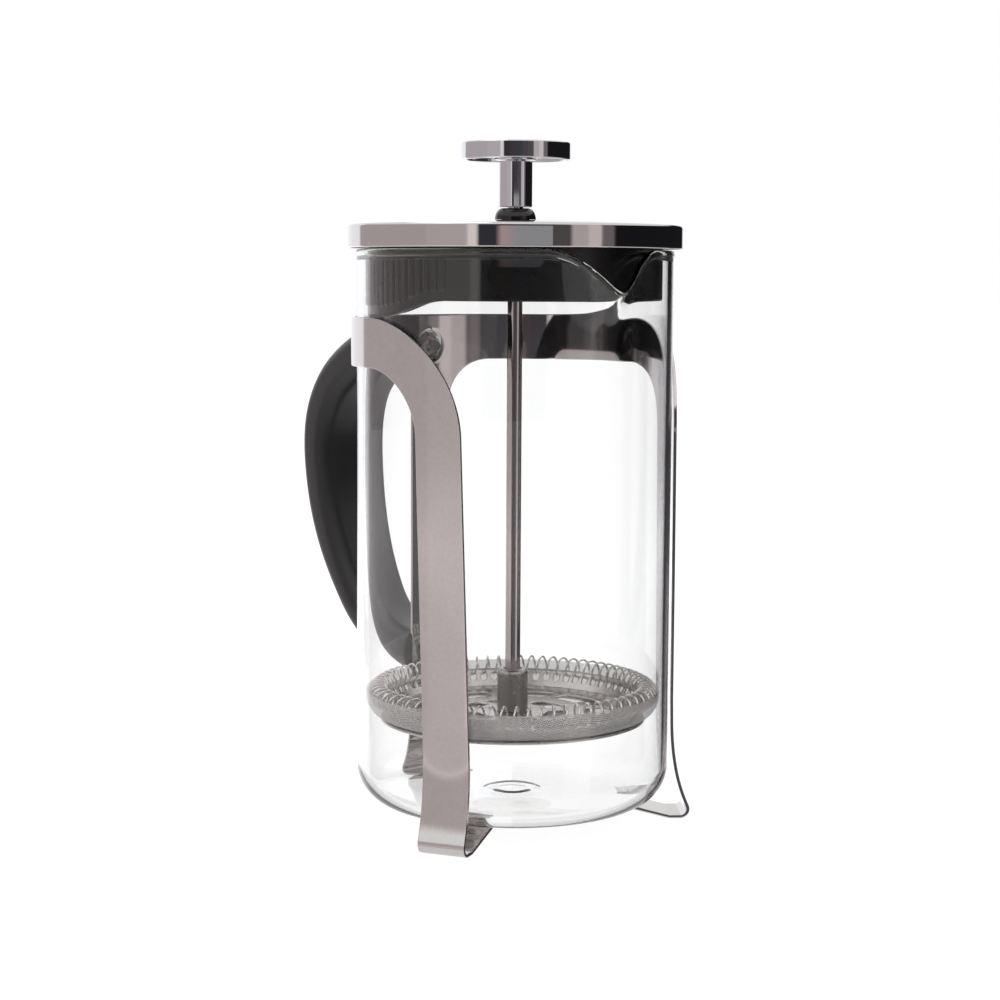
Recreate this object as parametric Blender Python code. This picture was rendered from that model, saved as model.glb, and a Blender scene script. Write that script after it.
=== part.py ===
"""French press: a glass beaker in a stamped steel frame, with a moulded handle, a lid and a sprung plunger.

Metres, +Z up.  The floor is z = 0, the spout points along +X and the handle along -X.  Every piece hangs from
one empty on the beaker's upright axis, which stands where the whole press is centred over the origin.
"""
import math

import bmesh
import bpy
from mathutils import Matrix, Vector

# --- fits -----------------------------------------------------------------------------------------------------
SEAT_GAP = 0.0003          # between two pieces that rest on, clamp or screw into each other
SLIDE_GAP = 0.0003         # between the rod and the bush that guides it

# --- glass beaker ---------------------------------------------------------------------------------------------
BEAKER_RADIUS = 0.0500     # outside
BEAKER_WALL = 0.0018
BEAKER_HEIGHT = 0.1762
BEAKER_BASE = 0.0024       # thickness of its bottom
BEAKER_CORNER = 0.0120     # outside radius between wall and bottom
FLOOR_GAP = 0.0055         # from the floor up to the glass
PUNT_RADIUS = 0.0300       # the slight hollow under the bottom
PUNT_RISE = 0.0014
SPOUT_HALF_ANGLE = math.radians(27)
SPOUT_DROP = 0.0127        # how far the lip dips below the rim
SPOUT_REACH = 0.0066       # how far the lip stands out of the wall
SPOUT_DEPTH = 0.0250       # height of wall that the spout is drawn from
BEAKER_STEPS = 48

# --- steel frame ----------------------------------------------------------------------------------------------
STRIP_WIDTH = 0.0152
STRIP_THICKNESS = 0.0010
GLASS_GAP = 0.0007         # between the glass and the strip round it
BAND_DROP = 0.0364         # from the glass's rim down to the lower edge of the band
FRONT_LEG_ANGLE = math.radians(60)
FRONT_LEG_LEAN = 0.62      # radians further back round the glass for each metre up
FRONT_LEG_LEVEL = 0.0755   # where a front leg stands at its angle
SHOULDER_RADIUS = 0.0200   # inner radius where the band turns down into a front leg
REAR_FILLET = 0.0150       # between the band and the rear leg
FLARE_HEIGHT = 0.0300      # a leg leans outwards below this height
FLARE_REACH = 0.0050
FOOT_BEND = 0.0030         # outer radius of the fold at the foot
FOOT_FLAT = 0.0035         # length of the flat that stands on the floor
TAB_REACH = 0.0160         # how far the tabs that carry the glass reach in under it
STRIP_COLUMNS = 4

# --- dimples and screws that hold the handle --------------------------------------------------------------------
DIMPLE_RADIUS = 0.0056
DIMPLE_DEPTH = 0.0022      # how far the dimple stands out of the strip
SCREW_HEAD_RADIUS = 0.00325
SCREW_HEAD_HEIGHT = 0.0016
SCREW_RADIUS = 0.0019
SCREW_LENGTH = 0.0130
SCREW_RECESS = 0.0008
UPPER_SCREW_IN_BAND = 0.0046   # above the band's lower edge
LOWER_SCREW_HEIGHT = 0.0460

# --- handle ---------------------------------------------------------------------------------------------------
HANDLE_WIDTH = 0.0205
HANDLE_CORNER = 0.0056
HANDLE_SPAN = 0.0687       # from the outside of the strip to the back of the grip
GRIP_DROP = 0.0379         # from the upper screw down to where the grip reaches furthest back
GRIP_THICKNESS = 0.0162
END_THICKNESS = 0.0154
HANDLE_STATIONS = 26

# --- lid ------------------------------------------------------------------------------------------------------
LID_OVERHANG = 0.0028      # how far its band stands out past the glass
LID_SKIRT = 0.0072         # height of the polished band round the lid
LID_CROWN = 0.0016         # rise of the crown above the band
LID_SHEET = 0.0007
LID_STEPS = 48
LINER_PLAY = 0.0017        # between its skirt and the glass
LINER_WALL = 0.0020
LINER_DISC = 0.0017
LINER_SKIRT = 0.0163       # depth of the skirt below the rim
LINER_DEEP = 0.0051        # extra depth of the ribbed part that can close the spout
DEEP_CENTRE = math.radians(-125.4)
DEEP_FLAT = math.radians(30)
DEEP_END = math.radians(64)
BOSS_RADIUS = 0.0100

# --- bush in the lid --------------------------------------------------------------------------------------------
BUSH_RADIUS = 0.0065
BUSH_HEIGHT = 0.0035
BUSH_TOP_RADIUS = 0.0042
BUSH_SHANK = 0.0045
NUT_RADIUS = 0.0085
NUT_HEIGHT = 0.0024

# --- plunger ----------------------------------------------------------------------------------------------------
ROD_RADIUS = 0.0024
KNOB_RADIUS = 0.0172
KNOB_THICKNESS = 0.0055
KNOB_RECESS = 0.0016
STEM_RADIUS = 0.0053
STEM_HEIGHT = 0.0147
SPIGOT_RADIUS = 0.0030
SPIGOT_HEIGHT = 0.0025
ROD_IN_KNOB = 0.0110       # depth of the rod's upper thread in the stem
COUPLING_RADIUS = 0.0049
COUPLING_HEIGHT = 0.0135
STUD_RADIUS = 0.0020
STUD_IN_COUPLING = 0.0074

# --- filter -----------------------------------------------------------------------------------------------------
FILTER_HEIGHT = 0.0320     # underside of the cross plate above the floor, plunger fully pressed
CROSS_INSET = 0.00425      # from the woven bowl's rim in to the edge of the cross plate
CROSS_SHEET = 0.0007
CROSS_LIP = 0.0004         # height of its turned-up rim
MESH_SHEET = 0.0003
PLATE_SHEET = 0.0006
FILTER_PLAY = 0.0009       # between the woven bowl and the glass
BOWL_RISE = 0.0078
BOWL_LIP = 0.0012
COIL_TURNS = 72
COIL_RADIUS = 0.00305      # of one turn, to the middle of the wire
WIRE_RADIUS = 0.00036
COIL_PHASE = math.radians(250)   # where round a turn the wire passes through the rim of the spiral plate
RIM_LEAN = math.radians(28)
RIM_ABOVE_HOLE = 0.0019
PIERCED_HEIGHT = 0.0027
PIERCED_SHARE = 0.60       # share of a hole's pitch that is open
WIRE_POINTS = 5            # points round one turn of the coil
WIRE_SIDES = 3

# --- levels and radii that follow from the sizes above ------------------------------------------------------------
RIM_HEIGHT = FLOOR_GAP + BEAKER_HEIGHT
BEAKER_BORE = BEAKER_RADIUS - BEAKER_WALL
STRIP_RADIUS = BEAKER_RADIUS + GLASS_GAP + STRIP_THICKNESS / 2
STRIP_OUTSIDE = STRIP_RADIUS + STRIP_THICKNESS / 2
TAB_END_RADIUS = BEAKER_RADIUS - TAB_REACH
BAND_BASE_HEIGHT = RIM_HEIGHT - BAND_DROP
BAND_TOP_HEIGHT = BAND_BASE_HEIGHT + STRIP_WIDTH
UPPER_SCREW_HEIGHT = BAND_BASE_HEIGHT + UPPER_SCREW_IN_BAND
HANDLE_REACH = STRIP_OUTSIDE + HANDLE_SPAN
GRIP_HEIGHT = UPPER_SCREW_HEIGHT - GRIP_DROP
LID_RADIUS = BEAKER_RADIUS + LID_OVERHANG
LINER_RADIUS = BEAKER_BORE - LINER_PLAY
LID_BASE = RIM_HEIGHT + SEAT_GAP
LID_EDGE = LID_BASE + LID_SKIRT
LID_TOP = LID_EDGE + LID_CROWN
LINER_BASE = LID_BASE + SEAT_GAP
BUSH_TOP = LID_TOP + SEAT_GAP + BUSH_HEIGHT
STEM_BASE = BUSH_TOP + SEAT_GAP
KNOB_BASE = STEM_BASE + STEM_HEIGHT
KNOB_TOP = KNOB_BASE + KNOB_THICKNESS
CROSS_LEVEL = FILTER_HEIGHT + CROSS_SHEET / 2
MESH_LEVEL = CROSS_LEVEL + CROSS_SHEET / 2 + SEAT_GAP + MESH_SHEET / 2
PLATE_LEVEL = MESH_LEVEL + MESH_SHEET / 2 + SEAT_GAP + PLATE_SHEET / 2
COUPLING_BASE = PLATE_LEVEL + PLATE_SHEET / 2 + SEAT_GAP
BOWL_RADIUS = BEAKER_BORE - FILTER_PLAY - MESH_SHEET / 2
CROSS_RADIUS = BOWL_RADIUS - CROSS_INSET
COIL_CENTRE = BOWL_RADIUS - MESH_SHEET / 2 - SEAT_GAP - WIRE_RADIUS - COIL_RADIUS
COIL_LEVEL = MESH_LEVEL + BOWL_RISE
SPOUT_TIP = BEAKER_RADIUS + SPOUT_REACH
AXIS_X = (HANDLE_REACH - SPOUT_TIP) / 2


# --- tools for making pieces ------------------------------------------------------------------------------------
def finish(name, colour, roughness, metallic=0.0, transmission=0.0):
    """A Principled material."""
    material = bpy.data.materials.new(name)
    material.use_nodes = True
    shader = material.node_tree.nodes["Principled BSDF"]
    shader.inputs["Base Color"].default_value = (*colour, 1.0)
    shader.inputs["Roughness"].default_value = roughness
    shader.inputs["Metallic"].default_value = metallic
    shader.inputs["Transmission Weight"].default_value = transmission
    return material


def piece(name, shape, material, parent, smooth=math.radians(35)):
    """Turns a bmesh into a named object under the parent."""
    mesh = bpy.data.meshes.new(name)
    shape.to_mesh(mesh)
    shape.free()
    mesh.materials.append(material)
    mesh.shade_smooth()
    mesh.set_sharp_from_angle(angle=smooth)
    thing = bpy.data.objects.new(name, mesh)
    bpy.context.collection.objects.link(thing)
    thing.parent = parent
    return thing


def cutter(name, shape, parent):
    """A shape that only cuts or joins, and isn't part of the press."""
    mesh = bpy.data.meshes.new(name)
    shape.to_mesh(mesh)
    shape.free()
    thing = bpy.data.objects.new(name, mesh)
    bpy.context.collection.objects.link(thing)
    thing.parent = parent
    thing.hide_render = True
    thing.display_type = "WIRE"
    return thing


def boolean(target, tool, operation):
    step = target.modifiers.new(operation.lower() + "_" + tool.name, "BOOLEAN")
    step.operation = operation
    step.solver = "EXACT"
    step.object = tool


def turned(outline, steps, place=None):
    """Turns a closed outline of (radius, height) about the Z axis.

    place(radius, angle, height) gives a point of the finished shape, for pieces that aren't quite round.
    """
    if place is None:
        def place(radius, angle, height):
            return Vector((radius * math.cos(angle), radius * math.sin(angle), height))
    shape = bmesh.new()
    rings = []
    for radius, height in outline:
        if radius == 0:
            rings.append([shape.verts.new((0, 0, height))] * steps)
        else:
            angles = [2 * math.pi * step / steps for step in range(steps)]
            rings.append([shape.verts.new(place(radius, angle, height)) for angle in angles])
    for ring, following in zip(rings, rings[1:] + rings[:1]):
        for step in range(steps):
            after = (step + 1) % steps
            corners = [ring[step], ring[after], following[after], following[step]]
            corners = list(dict.fromkeys(corners))
            if len(corners) > 2:
                shape.faces.new(corners)
    bmesh.ops.recalc_face_normals(shape, faces=shape.faces)
    return shape


def arc(centre, radius, start, end, steps):
    """Points (x, y) on an arc, both ends included, angles in degrees."""
    points = []
    for step in range(steps + 1):
        angle = math.radians(start + (end - start) * step / steps)
        points.append((centre[0] + radius * math.cos(angle), centre[1] + radius * math.sin(angle)))
    return points


def along_x(shape, distance, height):
    """Lays a shape turned about Z along -X, as the handle's screws lie, starting at distance from the axis."""
    turn = Matrix.Rotation(math.radians(-90), 4, "Y") @ Matrix.Rotation(math.radians(11.25), 4, "Z")
    bmesh.ops.transform(shape, matrix=Matrix.Translation((-distance, 0, height)) @ turn, verts=shape.verts)
    return shape


def at_both_screws(outline, distance):
    """One shape with a turned body at each of the handle's two screws, laid along -X."""
    both = bmesh.new()
    for height in (UPPER_SCREW_HEIGHT, LOWER_SCREW_HEIGHT):
        single = along_x(turned(outline, 16), distance, height)
        mesh = bpy.data.meshes.new("single")
        single.to_mesh(mesh)
        single.free()
        both.from_mesh(mesh)
        bpy.data.meshes.remove(mesh)
    return both


def thicken(thing, thickness):
    """Gives a sheet its thickness, half to each side."""
    step = thing.modifiers.new("thickness", "SOLIDIFY")
    step.thickness = thickness
    step.offset = 0.0
    step.use_even_offset = True


# --- beaker -----------------------------------------------------------------------------------------------------
def beaker_place(radius, angle, height):
    """Draws the spout out of a round wall."""
    turn = (angle + math.pi) % (2 * math.pi) - math.pi
    pull = max(0.0, 1.0 - abs(turn) / SPOUT_HALF_ANGLE)
    root = RIM_HEIGHT - SPOUT_DEPTH
    share = max(0.0, (height - root) / SPOUT_DEPTH)
    height -= SPOUT_DROP * pull ** 1.8 * share
    radius += SPOUT_REACH * pull ** 1.5 * share ** 1.8
    return Vector((radius * math.cos(angle), radius * math.sin(angle), height))


def make_beaker(parent, glass):
    outside = BEAKER_RADIUS
    inside = BEAKER_BORE
    floor = FLOOR_GAP
    inner_corner = BEAKER_CORNER - BEAKER_WALL
    base = floor + BEAKER_BASE
    wall_stops = [0.0, 0.4, 0.75]
    outline = [(0, floor + PUNT_RISE), (PUNT_RADIUS / 2, floor + PUNT_RISE * 0.9), (PUNT_RADIUS, floor)]
    outline += arc((outside - BEAKER_CORNER, floor + BEAKER_CORNER), BEAKER_CORNER, -90, 0, 4)
    outline += [(outside, RIM_HEIGHT - SPOUT_DEPTH + SPOUT_DEPTH * stop) for stop in wall_stops]
    outline += arc((outside - BEAKER_WALL / 2, RIM_HEIGHT - BEAKER_WALL / 2), BEAKER_WALL / 2, 0, 180, 3)
    outline += [(inside, RIM_HEIGHT - SPOUT_DEPTH + SPOUT_DEPTH * stop) for stop in reversed(wall_stops)]
    outline += arc((inside - inner_corner, base + inner_corner), inner_corner, 0, -90, 3)
    outline += [(PUNT_RADIUS, base + 0.0001), (PUNT_RADIUS / 2, base + PUNT_RISE * 0.9), (0, base + PUNT_RISE)]
    return piece("beaker", turned(outline, BEAKER_STEPS, beaker_place), glass, parent)


# --- frame ------------------------------------------------------------------------------------------------------
def foot_path():
    """The strip's middle line in (radius, height), from the end of a tab out, round the fold and up the leg."""
    half = STRIP_THICKNESS / 2
    bend = FOOT_BEND - half
    lean = math.degrees(math.atan(1.5 * FLARE_REACH / (FLARE_HEIGHT - FOOT_BEND)))
    middle_x = STRIP_RADIUS + FLARE_REACH - bend * math.cos(math.radians(lean))
    tab_top = FLOOR_GAP - SEAT_GAP - half
    path = [(TAB_END_RADIUS, tab_top)]
    path += [(middle_x - FOOT_FLAT, half)]
    path += arc((middle_x, half + bend), bend, -90, lean, 5)
    foot_top = path[-1][1]
    for step in range(1, 7):
        share = 1 - step / 6
        path.append((STRIP_RADIUS + FLARE_REACH * share ** 1.5, FLARE_HEIGHT - (FLARE_HEIGHT - foot_top) * share))
    return path


def leg_point(angle, radius, height, across):
    """A point of a leg.  The strip is curved round the glass above its flare and flat across at its foot."""
    turn = angle + across / STRIP_RADIUS
    curved = Vector((radius * math.cos(turn), radius * math.sin(turn), height))
    out = Vector((math.cos(angle), math.sin(angle), 0))
    side = Vector((-math.sin(angle), math.cos(angle), 0))
    flat = out * radius + side * across + Vector((0, 0, height))
    share = min(1.0, max(0.0, (FLARE_HEIGHT + 0.008 - height) / (FLARE_HEIGHT - 0.008)))
    return curved.lerp(flat, share)


def band_point(run, height):
    """A point of the rolled strip, run metres round from the spout's side."""
    angle = run / STRIP_RADIUS
    return Vector((STRIP_RADIUS * math.cos(angle), STRIP_RADIUS * math.sin(angle), height))


def leg_lean(height):
    """How much further back round the glass a front leg stands at a height."""
    return FRONT_LEG_LEAN * (height - FRONT_LEG_LEVEL)


def band_rows():
    """Rows of points across the strip, from one front tab, over the band, to the middle of the rear leg."""
    half = STRIP_WIDTH / 2
    shares = [step / STRIP_COLUMNS for step in range(STRIP_COLUMNS + 1)]
    rows = []
    for radius, height in foot_path():
        angle = FRONT_LEG_ANGLE + leg_lean(height)
        rows.append([leg_point(angle, radius, height, (2 * s - 1) * half) for s in shares])
    turn_height = BAND_BASE_HEIGHT - SHOULDER_RADIUS
    leg_run = STRIP_RADIUS * FRONT_LEG_ANGLE
    straight = turn_height - FLARE_HEIGHT
    for step in range(1, 4):
        height = FLARE_HEIGHT + 0.008 + (straight - 0.008) * (step - 1) / 3
        angle = FRONT_LEG_ANGLE + leg_lean(height)
        rows.append([leg_point(angle, STRIP_RADIUS, height, (2 * s - 1) * half) for s in shares])
    centre_run = leg_run + half + SHOULDER_RADIUS
    for step in range(9):
        angle = math.pi - math.pi / 2 * step / 8
        row = []
        for share in shares:
            reach = SHOULDER_RADIUS + STRIP_WIDTH * (1 - share)
            height = turn_height + reach * math.sin(angle)
            run = centre_run + reach * math.cos(angle) + STRIP_RADIUS * leg_lean(height)
            row.append(band_point(run, height))
        rows.append(row)
    rear_run = STRIP_RADIUS * math.pi
    fillet_run = rear_run - half - REAR_FILLET
    for step in range(1, 10):
        run = centre_run + (fillet_run - centre_run) * step / 9
        rows.append([band_point(run, BAND_TOP_HEIGHT - STRIP_WIDTH * share) for share in shares])
    for step in range(1, 7):
        angle = math.pi / 2 * step / 6
        run = fillet_run + REAR_FILLET * math.sin(angle)
        base = BAND_BASE_HEIGHT - REAR_FILLET * (1 - math.cos(angle))
        rows.append([band_point(run, BAND_TOP_HEIGHT + (base - BAND_TOP_HEIGHT) * share) for share in shares])
    base = BAND_BASE_HEIGHT - REAR_FILLET
    for step in range(1, 3):
        run = rear_run - half + half * step / 2
        rows.append([band_point(run, BAND_TOP_HEIGHT + (base - BAND_TOP_HEIGHT) * share) for share in shares])
    return rows


def dimple_outside():
    """The outer shape of a round cup pressed outwards in the strip, starting inside the strip."""
    corner = 0.0008
    depth = STRIP_THICKNESS * 0.8 + DIMPLE_DEPTH
    return [(0, 0), (DIMPLE_RADIUS, 0), (DIMPLE_RADIUS, depth - corner), (DIMPLE_RADIUS - corner, depth), (0, depth)]


def dimple_inside():
    """The hollow of the cup, where a screw's head sits clear of the glass, and the hole for its shank."""
    wall = STRIP_THICKNESS * 0.9
    floor = STRIP_THICKNESS * 0.8 + DIMPLE_DEPTH - wall
    hole = SCREW_RADIUS + SEAT_GAP
    return [(0, -0.003), (DIMPLE_RADIUS - wall, -0.003), (DIMPLE_RADIUS - wall, floor), (hole, floor),
            (hole, floor + 0.003), (0, floor + 0.003)]


def make_frame(parent, steel):
    shape = bmesh.new()
    rows = band_rows()
    left = [[shape.verts.new(point) for point in row] for row in rows]
    right = [[shape.verts.new((point.x, -point.y, point.z)) for point in row] for row in reversed(rows[:-1])]
    grid = left + right
    for row, following in zip(grid, grid[1:]):
        for column in range(STRIP_COLUMNS):
            shape.faces.new((row[column], following[column], following[column + 1], row[column + 1]))
    middle = len(rows) - 1
    edge = [grid[middle + step][-1] for step in range(-2, 3)]
    offsets = [-STRIP_WIDTH / 2 * step / 2 for step in range(-2, 3)]
    top = edge[0].co.z
    heights = [top + (FLARE_HEIGHT + 0.008 - top) * step / 5 for step in range(1, 6)]
    lower = [(STRIP_RADIUS, height) for height in heights] + list(reversed(foot_path()))
    for radius, height in lower:
        following = [shape.verts.new(leg_point(math.pi, radius, height, -offset)) for offset in offsets]
        for column in range(STRIP_COLUMNS):
            shape.faces.new((edge[column], edge[column + 1], following[column + 1], following[column]))
        edge = following
    bmesh.ops.recalc_face_normals(shape, faces=shape.faces)
    frame = piece("frame", shape, steel, parent)
    thicken(frame, STRIP_THICKNESS)
    start = STRIP_OUTSIDE - STRIP_THICKNESS * 0.8
    boolean(frame, cutter("dimples", at_both_screws(dimple_outside(), start), parent), "UNION")
    boolean(frame, cutter("dimple_hollows", at_both_screws(dimple_inside(), start), parent), "DIFFERENCE")
    return frame


# --- screws -----------------------------------------------------------------------------------------------------
def make_screw(name, height, parent, steel):
    """A pan-headed screw.  Its head lies in the dimple and its shank goes back into the handle."""
    seat = STRIP_OUTSIDE + DIMPLE_DEPTH - STRIP_THICKNESS * 0.9 - SEAT_GAP
    radius = SCREW_HEAD_RADIUS
    start = seat - SCREW_HEAD_HEIGHT
    top = SCREW_HEAD_HEIGHT
    outline = [(0, 0), (radius * 0.62, 0.0001), (radius * 0.9, top * 0.35), (radius, top * 0.7), (radius, top)]
    outline += [(SCREW_RADIUS, top), (SCREW_RADIUS, top + SCREW_LENGTH - 0.001)]
    outline += [(SCREW_RADIUS * 0.5, top + SCREW_LENGTH), (0, top + SCREW_LENGTH)]
    screw = piece(name, along_x(turned(outline, 16), start, height), steel, parent)
    for label, size in (("flat", (0.0038, 0.0008)), ("upright", (0.0008, 0.0038))):
        slot = bmesh.new()
        bmesh.ops.create_cube(slot, size=1.0)
        scale = Matrix.Diagonal((2 * SCREW_RECESS, size[0], size[1], 1))
        place = Matrix.Translation((-start, 0, height))
        bmesh.ops.transform(slot, matrix=place @ scale, verts=slot.verts)
        boolean(screw, cutter(name + "_recess_" + label, slot, parent), "DIFFERENCE")
    return screw


# --- handle -----------------------------------------------------------------------------------------------------
def handle_route():
    """Middle line of the handle as (distance from the axis, height, thickness), top end first."""
    back = HANDLE_REACH - GRIP_THICKNESS / 2
    start = STRIP_OUTSIDE - 0.004
    reach = back - STRIP_OUTSIDE
    upper = UPPER_SCREW_HEIGHT + 0.0010
    rise = upper - GRIP_HEIGHT
    drop = GRIP_HEIGHT - LOWER_SCREW_HEIGHT
    stops = [
        (start, upper, END_THICKNESS),
        (STRIP_OUTSIDE + reach * 0.22, upper - rise * 0.01, END_THICKNESS),
        (STRIP_OUTSIDE + reach * 0.52, upper - rise * 0.12, END_THICKNESS),
        (STRIP_OUTSIDE + reach * 0.80, upper - rise * 0.36, GRIP_THICKNESS - 0.0004),
        (STRIP_OUTSIDE + reach * 0.955, upper - rise * 0.66, GRIP_THICKNESS),
        (back, GRIP_HEIGHT, GRIP_THICKNESS),
        (STRIP_OUTSIDE + reach * 0.955, GRIP_HEIGHT - drop * 0.26, GRIP_THICKNESS - 0.0004),
        (STRIP_OUTSIDE + reach * 0.85, GRIP_HEIGHT - drop * 0.49, 0.0150),
        (STRIP_OUTSIDE + reach * 0.69, GRIP_HEIGHT - drop * 0.70, 0.0136),
        (STRIP_OUTSIDE + reach * 0.51, GRIP_HEIGHT - drop * 0.86, 0.0130),
        (STRIP_OUTSIDE + reach * 0.27, GRIP_HEIGHT - drop * 0.96, 0.0132),
        (start, LOWER_SCREW_HEIGHT, END_THICKNESS - 0.0004),
    ]
    return stops


def smooth_through(points, count):
    """Evenly stepped points on a smooth curve that passes through the given ones."""
    ends = [[2 * a - b for a, b in zip(points[0], points[1])], [2 * a - b for a, b in zip(points[-1], points[-2])]]
    knots = [ends[0]] + [list(point) for point in points] + [ends[1]]
    spans = len(points) - 1
    curve = []
    for step in range(count + 1):
        at = min(spans * step / count, spans - 1e-9)
        span = int(at)
        t = at - span
        before, first, second, after = knots[span:span + 4]
        curve.append([
            0.5 * (2 * b + (c - a) * t + (2 * a - 5 * b + 4 * c - d) * t ** 2 + (3 * b - a - 3 * c + d) * t ** 3)
            for a, b, c, d in zip(before, first, second, after)
        ])
    return curve


def rounded_section(width, thickness, corner):
    """Points (across, through) round a rectangle with rounded corners, twelve in all."""
    points = []
    for quarter in range(4):
        sign = [(1, 1), (-1, 1), (-1, -1), (1, -1)][quarter]
        centre = (sign[0] * (width / 2 - corner), sign[1] * (thickness / 2 - corner))
        points += arc(centre, corner, 90 * quarter, 90 * quarter + 90, 2)
    return points


def make_handle(parent, plastic):
    route = smooth_through(handle_route(), HANDLE_STATIONS)
    shape = bmesh.new()
    rings = []
    for station, (distance, height, thickness) in enumerate(route):
        before = route[max(station - 1, 0)]
        after = route[min(station + 1, HANDLE_STATIONS)]
        along = Vector((after[0] - before[0], after[1] - before[1])).normalized()
        outward = Vector((-along.y, along.x))
        ring = []
        for across, through in rounded_section(HANDLE_WIDTH, thickness, HANDLE_CORNER):
            reach = distance + outward.x * through
            ring.append(shape.verts.new((-reach, across, height + outward.y * through)))
        rings.append(ring)
    sides = len(rings[0])
    for ring, following in zip(rings, rings[1:]):
        for side in range(sides):
            after = (side + 1) % sides
            shape.faces.new((ring[side], ring[after], following[after], following[side]))
    shape.faces.new(rings[0])
    shape.faces.new(rings[-1])
    bmesh.ops.recalc_face_normals(shape, faces=shape.faces)
    handle = piece("handle", shape, plastic, parent)
    saddle = STRIP_OUTSIDE + SEAT_GAP
    top = UPPER_SCREW_HEIGHT + 0.03
    core = turned([(0, 0), (saddle, 0), (saddle, top), (0, top)], 96)
    boolean(handle, cutter("handle_saddle", core, parent), "DIFFERENCE")
    pocket = DIMPLE_RADIUS + SEAT_GAP
    pocket_depth = DIMPLE_DEPTH + SEAT_GAP
    hole = SCREW_RADIUS + SEAT_GAP
    hole_depth = DIMPLE_DEPTH + SCREW_LENGTH
    outline = [(0, -0.004), (pocket, -0.004), (pocket, pocket_depth), (hole, pocket_depth), (hole, hole_depth)]
    outline += [(0, hole_depth)]
    boolean(handle, cutter("handle_sockets", at_both_screws(outline, STRIP_OUTSIDE), parent), "DIFFERENCE")
    return handle


# --- lid --------------------------------------------------------------------------------------------------------
def crown(radius, top):
    """Height of a shallow dome of the lid's shape at a radius, with its top at the given height."""
    return top - LID_CROWN * (radius / LID_RADIUS) ** 2


def make_lid_shell(parent, steel):
    corner = 0.0010
    hole = BUSH_SHANK + SEAT_GAP
    inner = LID_RADIUS - LID_SHEET
    stops = [0.50, 0.85]
    outline = [(LID_RADIUS, LID_BASE)]
    outline += arc((LID_RADIUS - corner, LID_EDGE - corner), corner, 0, 70, 2)
    outline += [(LID_RADIUS * stop, crown(LID_RADIUS * stop, LID_TOP)) for stop in reversed(stops)]
    outline += [(hole, crown(hole, LID_TOP)), (hole, crown(hole, LID_TOP) - LID_SHEET)]
    outline += [(LID_RADIUS * stop, crown(LID_RADIUS * stop, LID_TOP) - LID_SHEET) for stop in stops]
    outline += [(inner, LID_EDGE - corner - LID_SHEET), (inner, LID_BASE)]
    return piece("lid_shell", turned(outline, LID_STEPS), steel, parent)


def skirt_depth(angle):
    """Depth of the liner's skirt below its flange, deeper on the ribbed side."""
    turn = abs((angle - DEEP_CENTRE + math.pi) % (2 * math.pi) - math.pi)
    share = min(1.0, max(0.0, (turn - DEEP_FLAT) / (DEEP_END - DEEP_FLAT)))
    return LINER_SKIRT + LINER_DEEP * (1 + math.cos(math.pi * share)) / 2


def make_lid_liner(parent, plastic):
    flange = LID_RADIUS - LID_SHEET - SEAT_GAP
    inside = LINER_RADIUS - LINER_WALL
    disc_top = LINER_BASE + LINER_DISC
    hole = BUSH_SHANK + SEAT_GAP
    boss_top = crown(BOSS_RADIUS, LID_TOP) - LID_SHEET - SEAT_GAP
    skirt_bottom = LINER_BASE - LINER_SKIRT

    def place(radius, angle, height):
        """Lets only the lower edge of the skirt follow its changing depth."""
        if height < LINER_BASE:
            height = LINER_BASE - (LINER_BASE - height) / LINER_SKIRT * skirt_depth(angle)
        return Vector((radius * math.cos(angle), radius * math.sin(angle), height))

    outline = [(inside, skirt_bottom), (LINER_RADIUS, skirt_bottom), (LINER_RADIUS, LINER_BASE)]
    outline += [(flange, LINER_BASE), (flange, disc_top), (BOSS_RADIUS, disc_top), (BOSS_RADIUS, boss_top)]
    outline += [(hole, boss_top), (hole, LINER_BASE), (inside, LINER_BASE)]
    return piece("lid_liner", turned(outline, LID_STEPS, place), plastic, parent)


def make_bush(parent, plastic):
    """The black dome that guides the rod, on a shank that goes down through the lid."""
    base = LID_TOP + SEAT_GAP
    bore = ROD_RADIUS + SLIDE_GAP
    shank_end = LINER_BASE - SEAT_GAP - NUT_HEIGHT - 0.0006
    outline = [(bore, shank_end), (BUSH_SHANK, shank_end), (BUSH_SHANK, base), (BUSH_RADIUS, base)]
    for step in range(1, 6):
        share = math.pi / 2 * step / 5
        radius = BUSH_TOP_RADIUS + (BUSH_RADIUS - BUSH_TOP_RADIUS) * math.cos(share)
        outline.append((radius, base + BUSH_HEIGHT * math.sin(share)))
    outline += [(bore, BUSH_TOP)]
    return piece("rod_bush", turned(outline, 24), plastic, parent)


def make_bush_nut(parent, plastic):
    """The ring nut that clamps shell, liner and bush together from below."""
    top = LINER_BASE - SEAT_GAP
    bore = BUSH_SHANK + SEAT_GAP
    outline = [(bore, top - NUT_HEIGHT), (NUT_RADIUS, top - NUT_HEIGHT), (NUT_RADIUS, top), (bore, top)]
    return piece("bush_nut", turned(outline, 24), plastic, parent)


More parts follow.
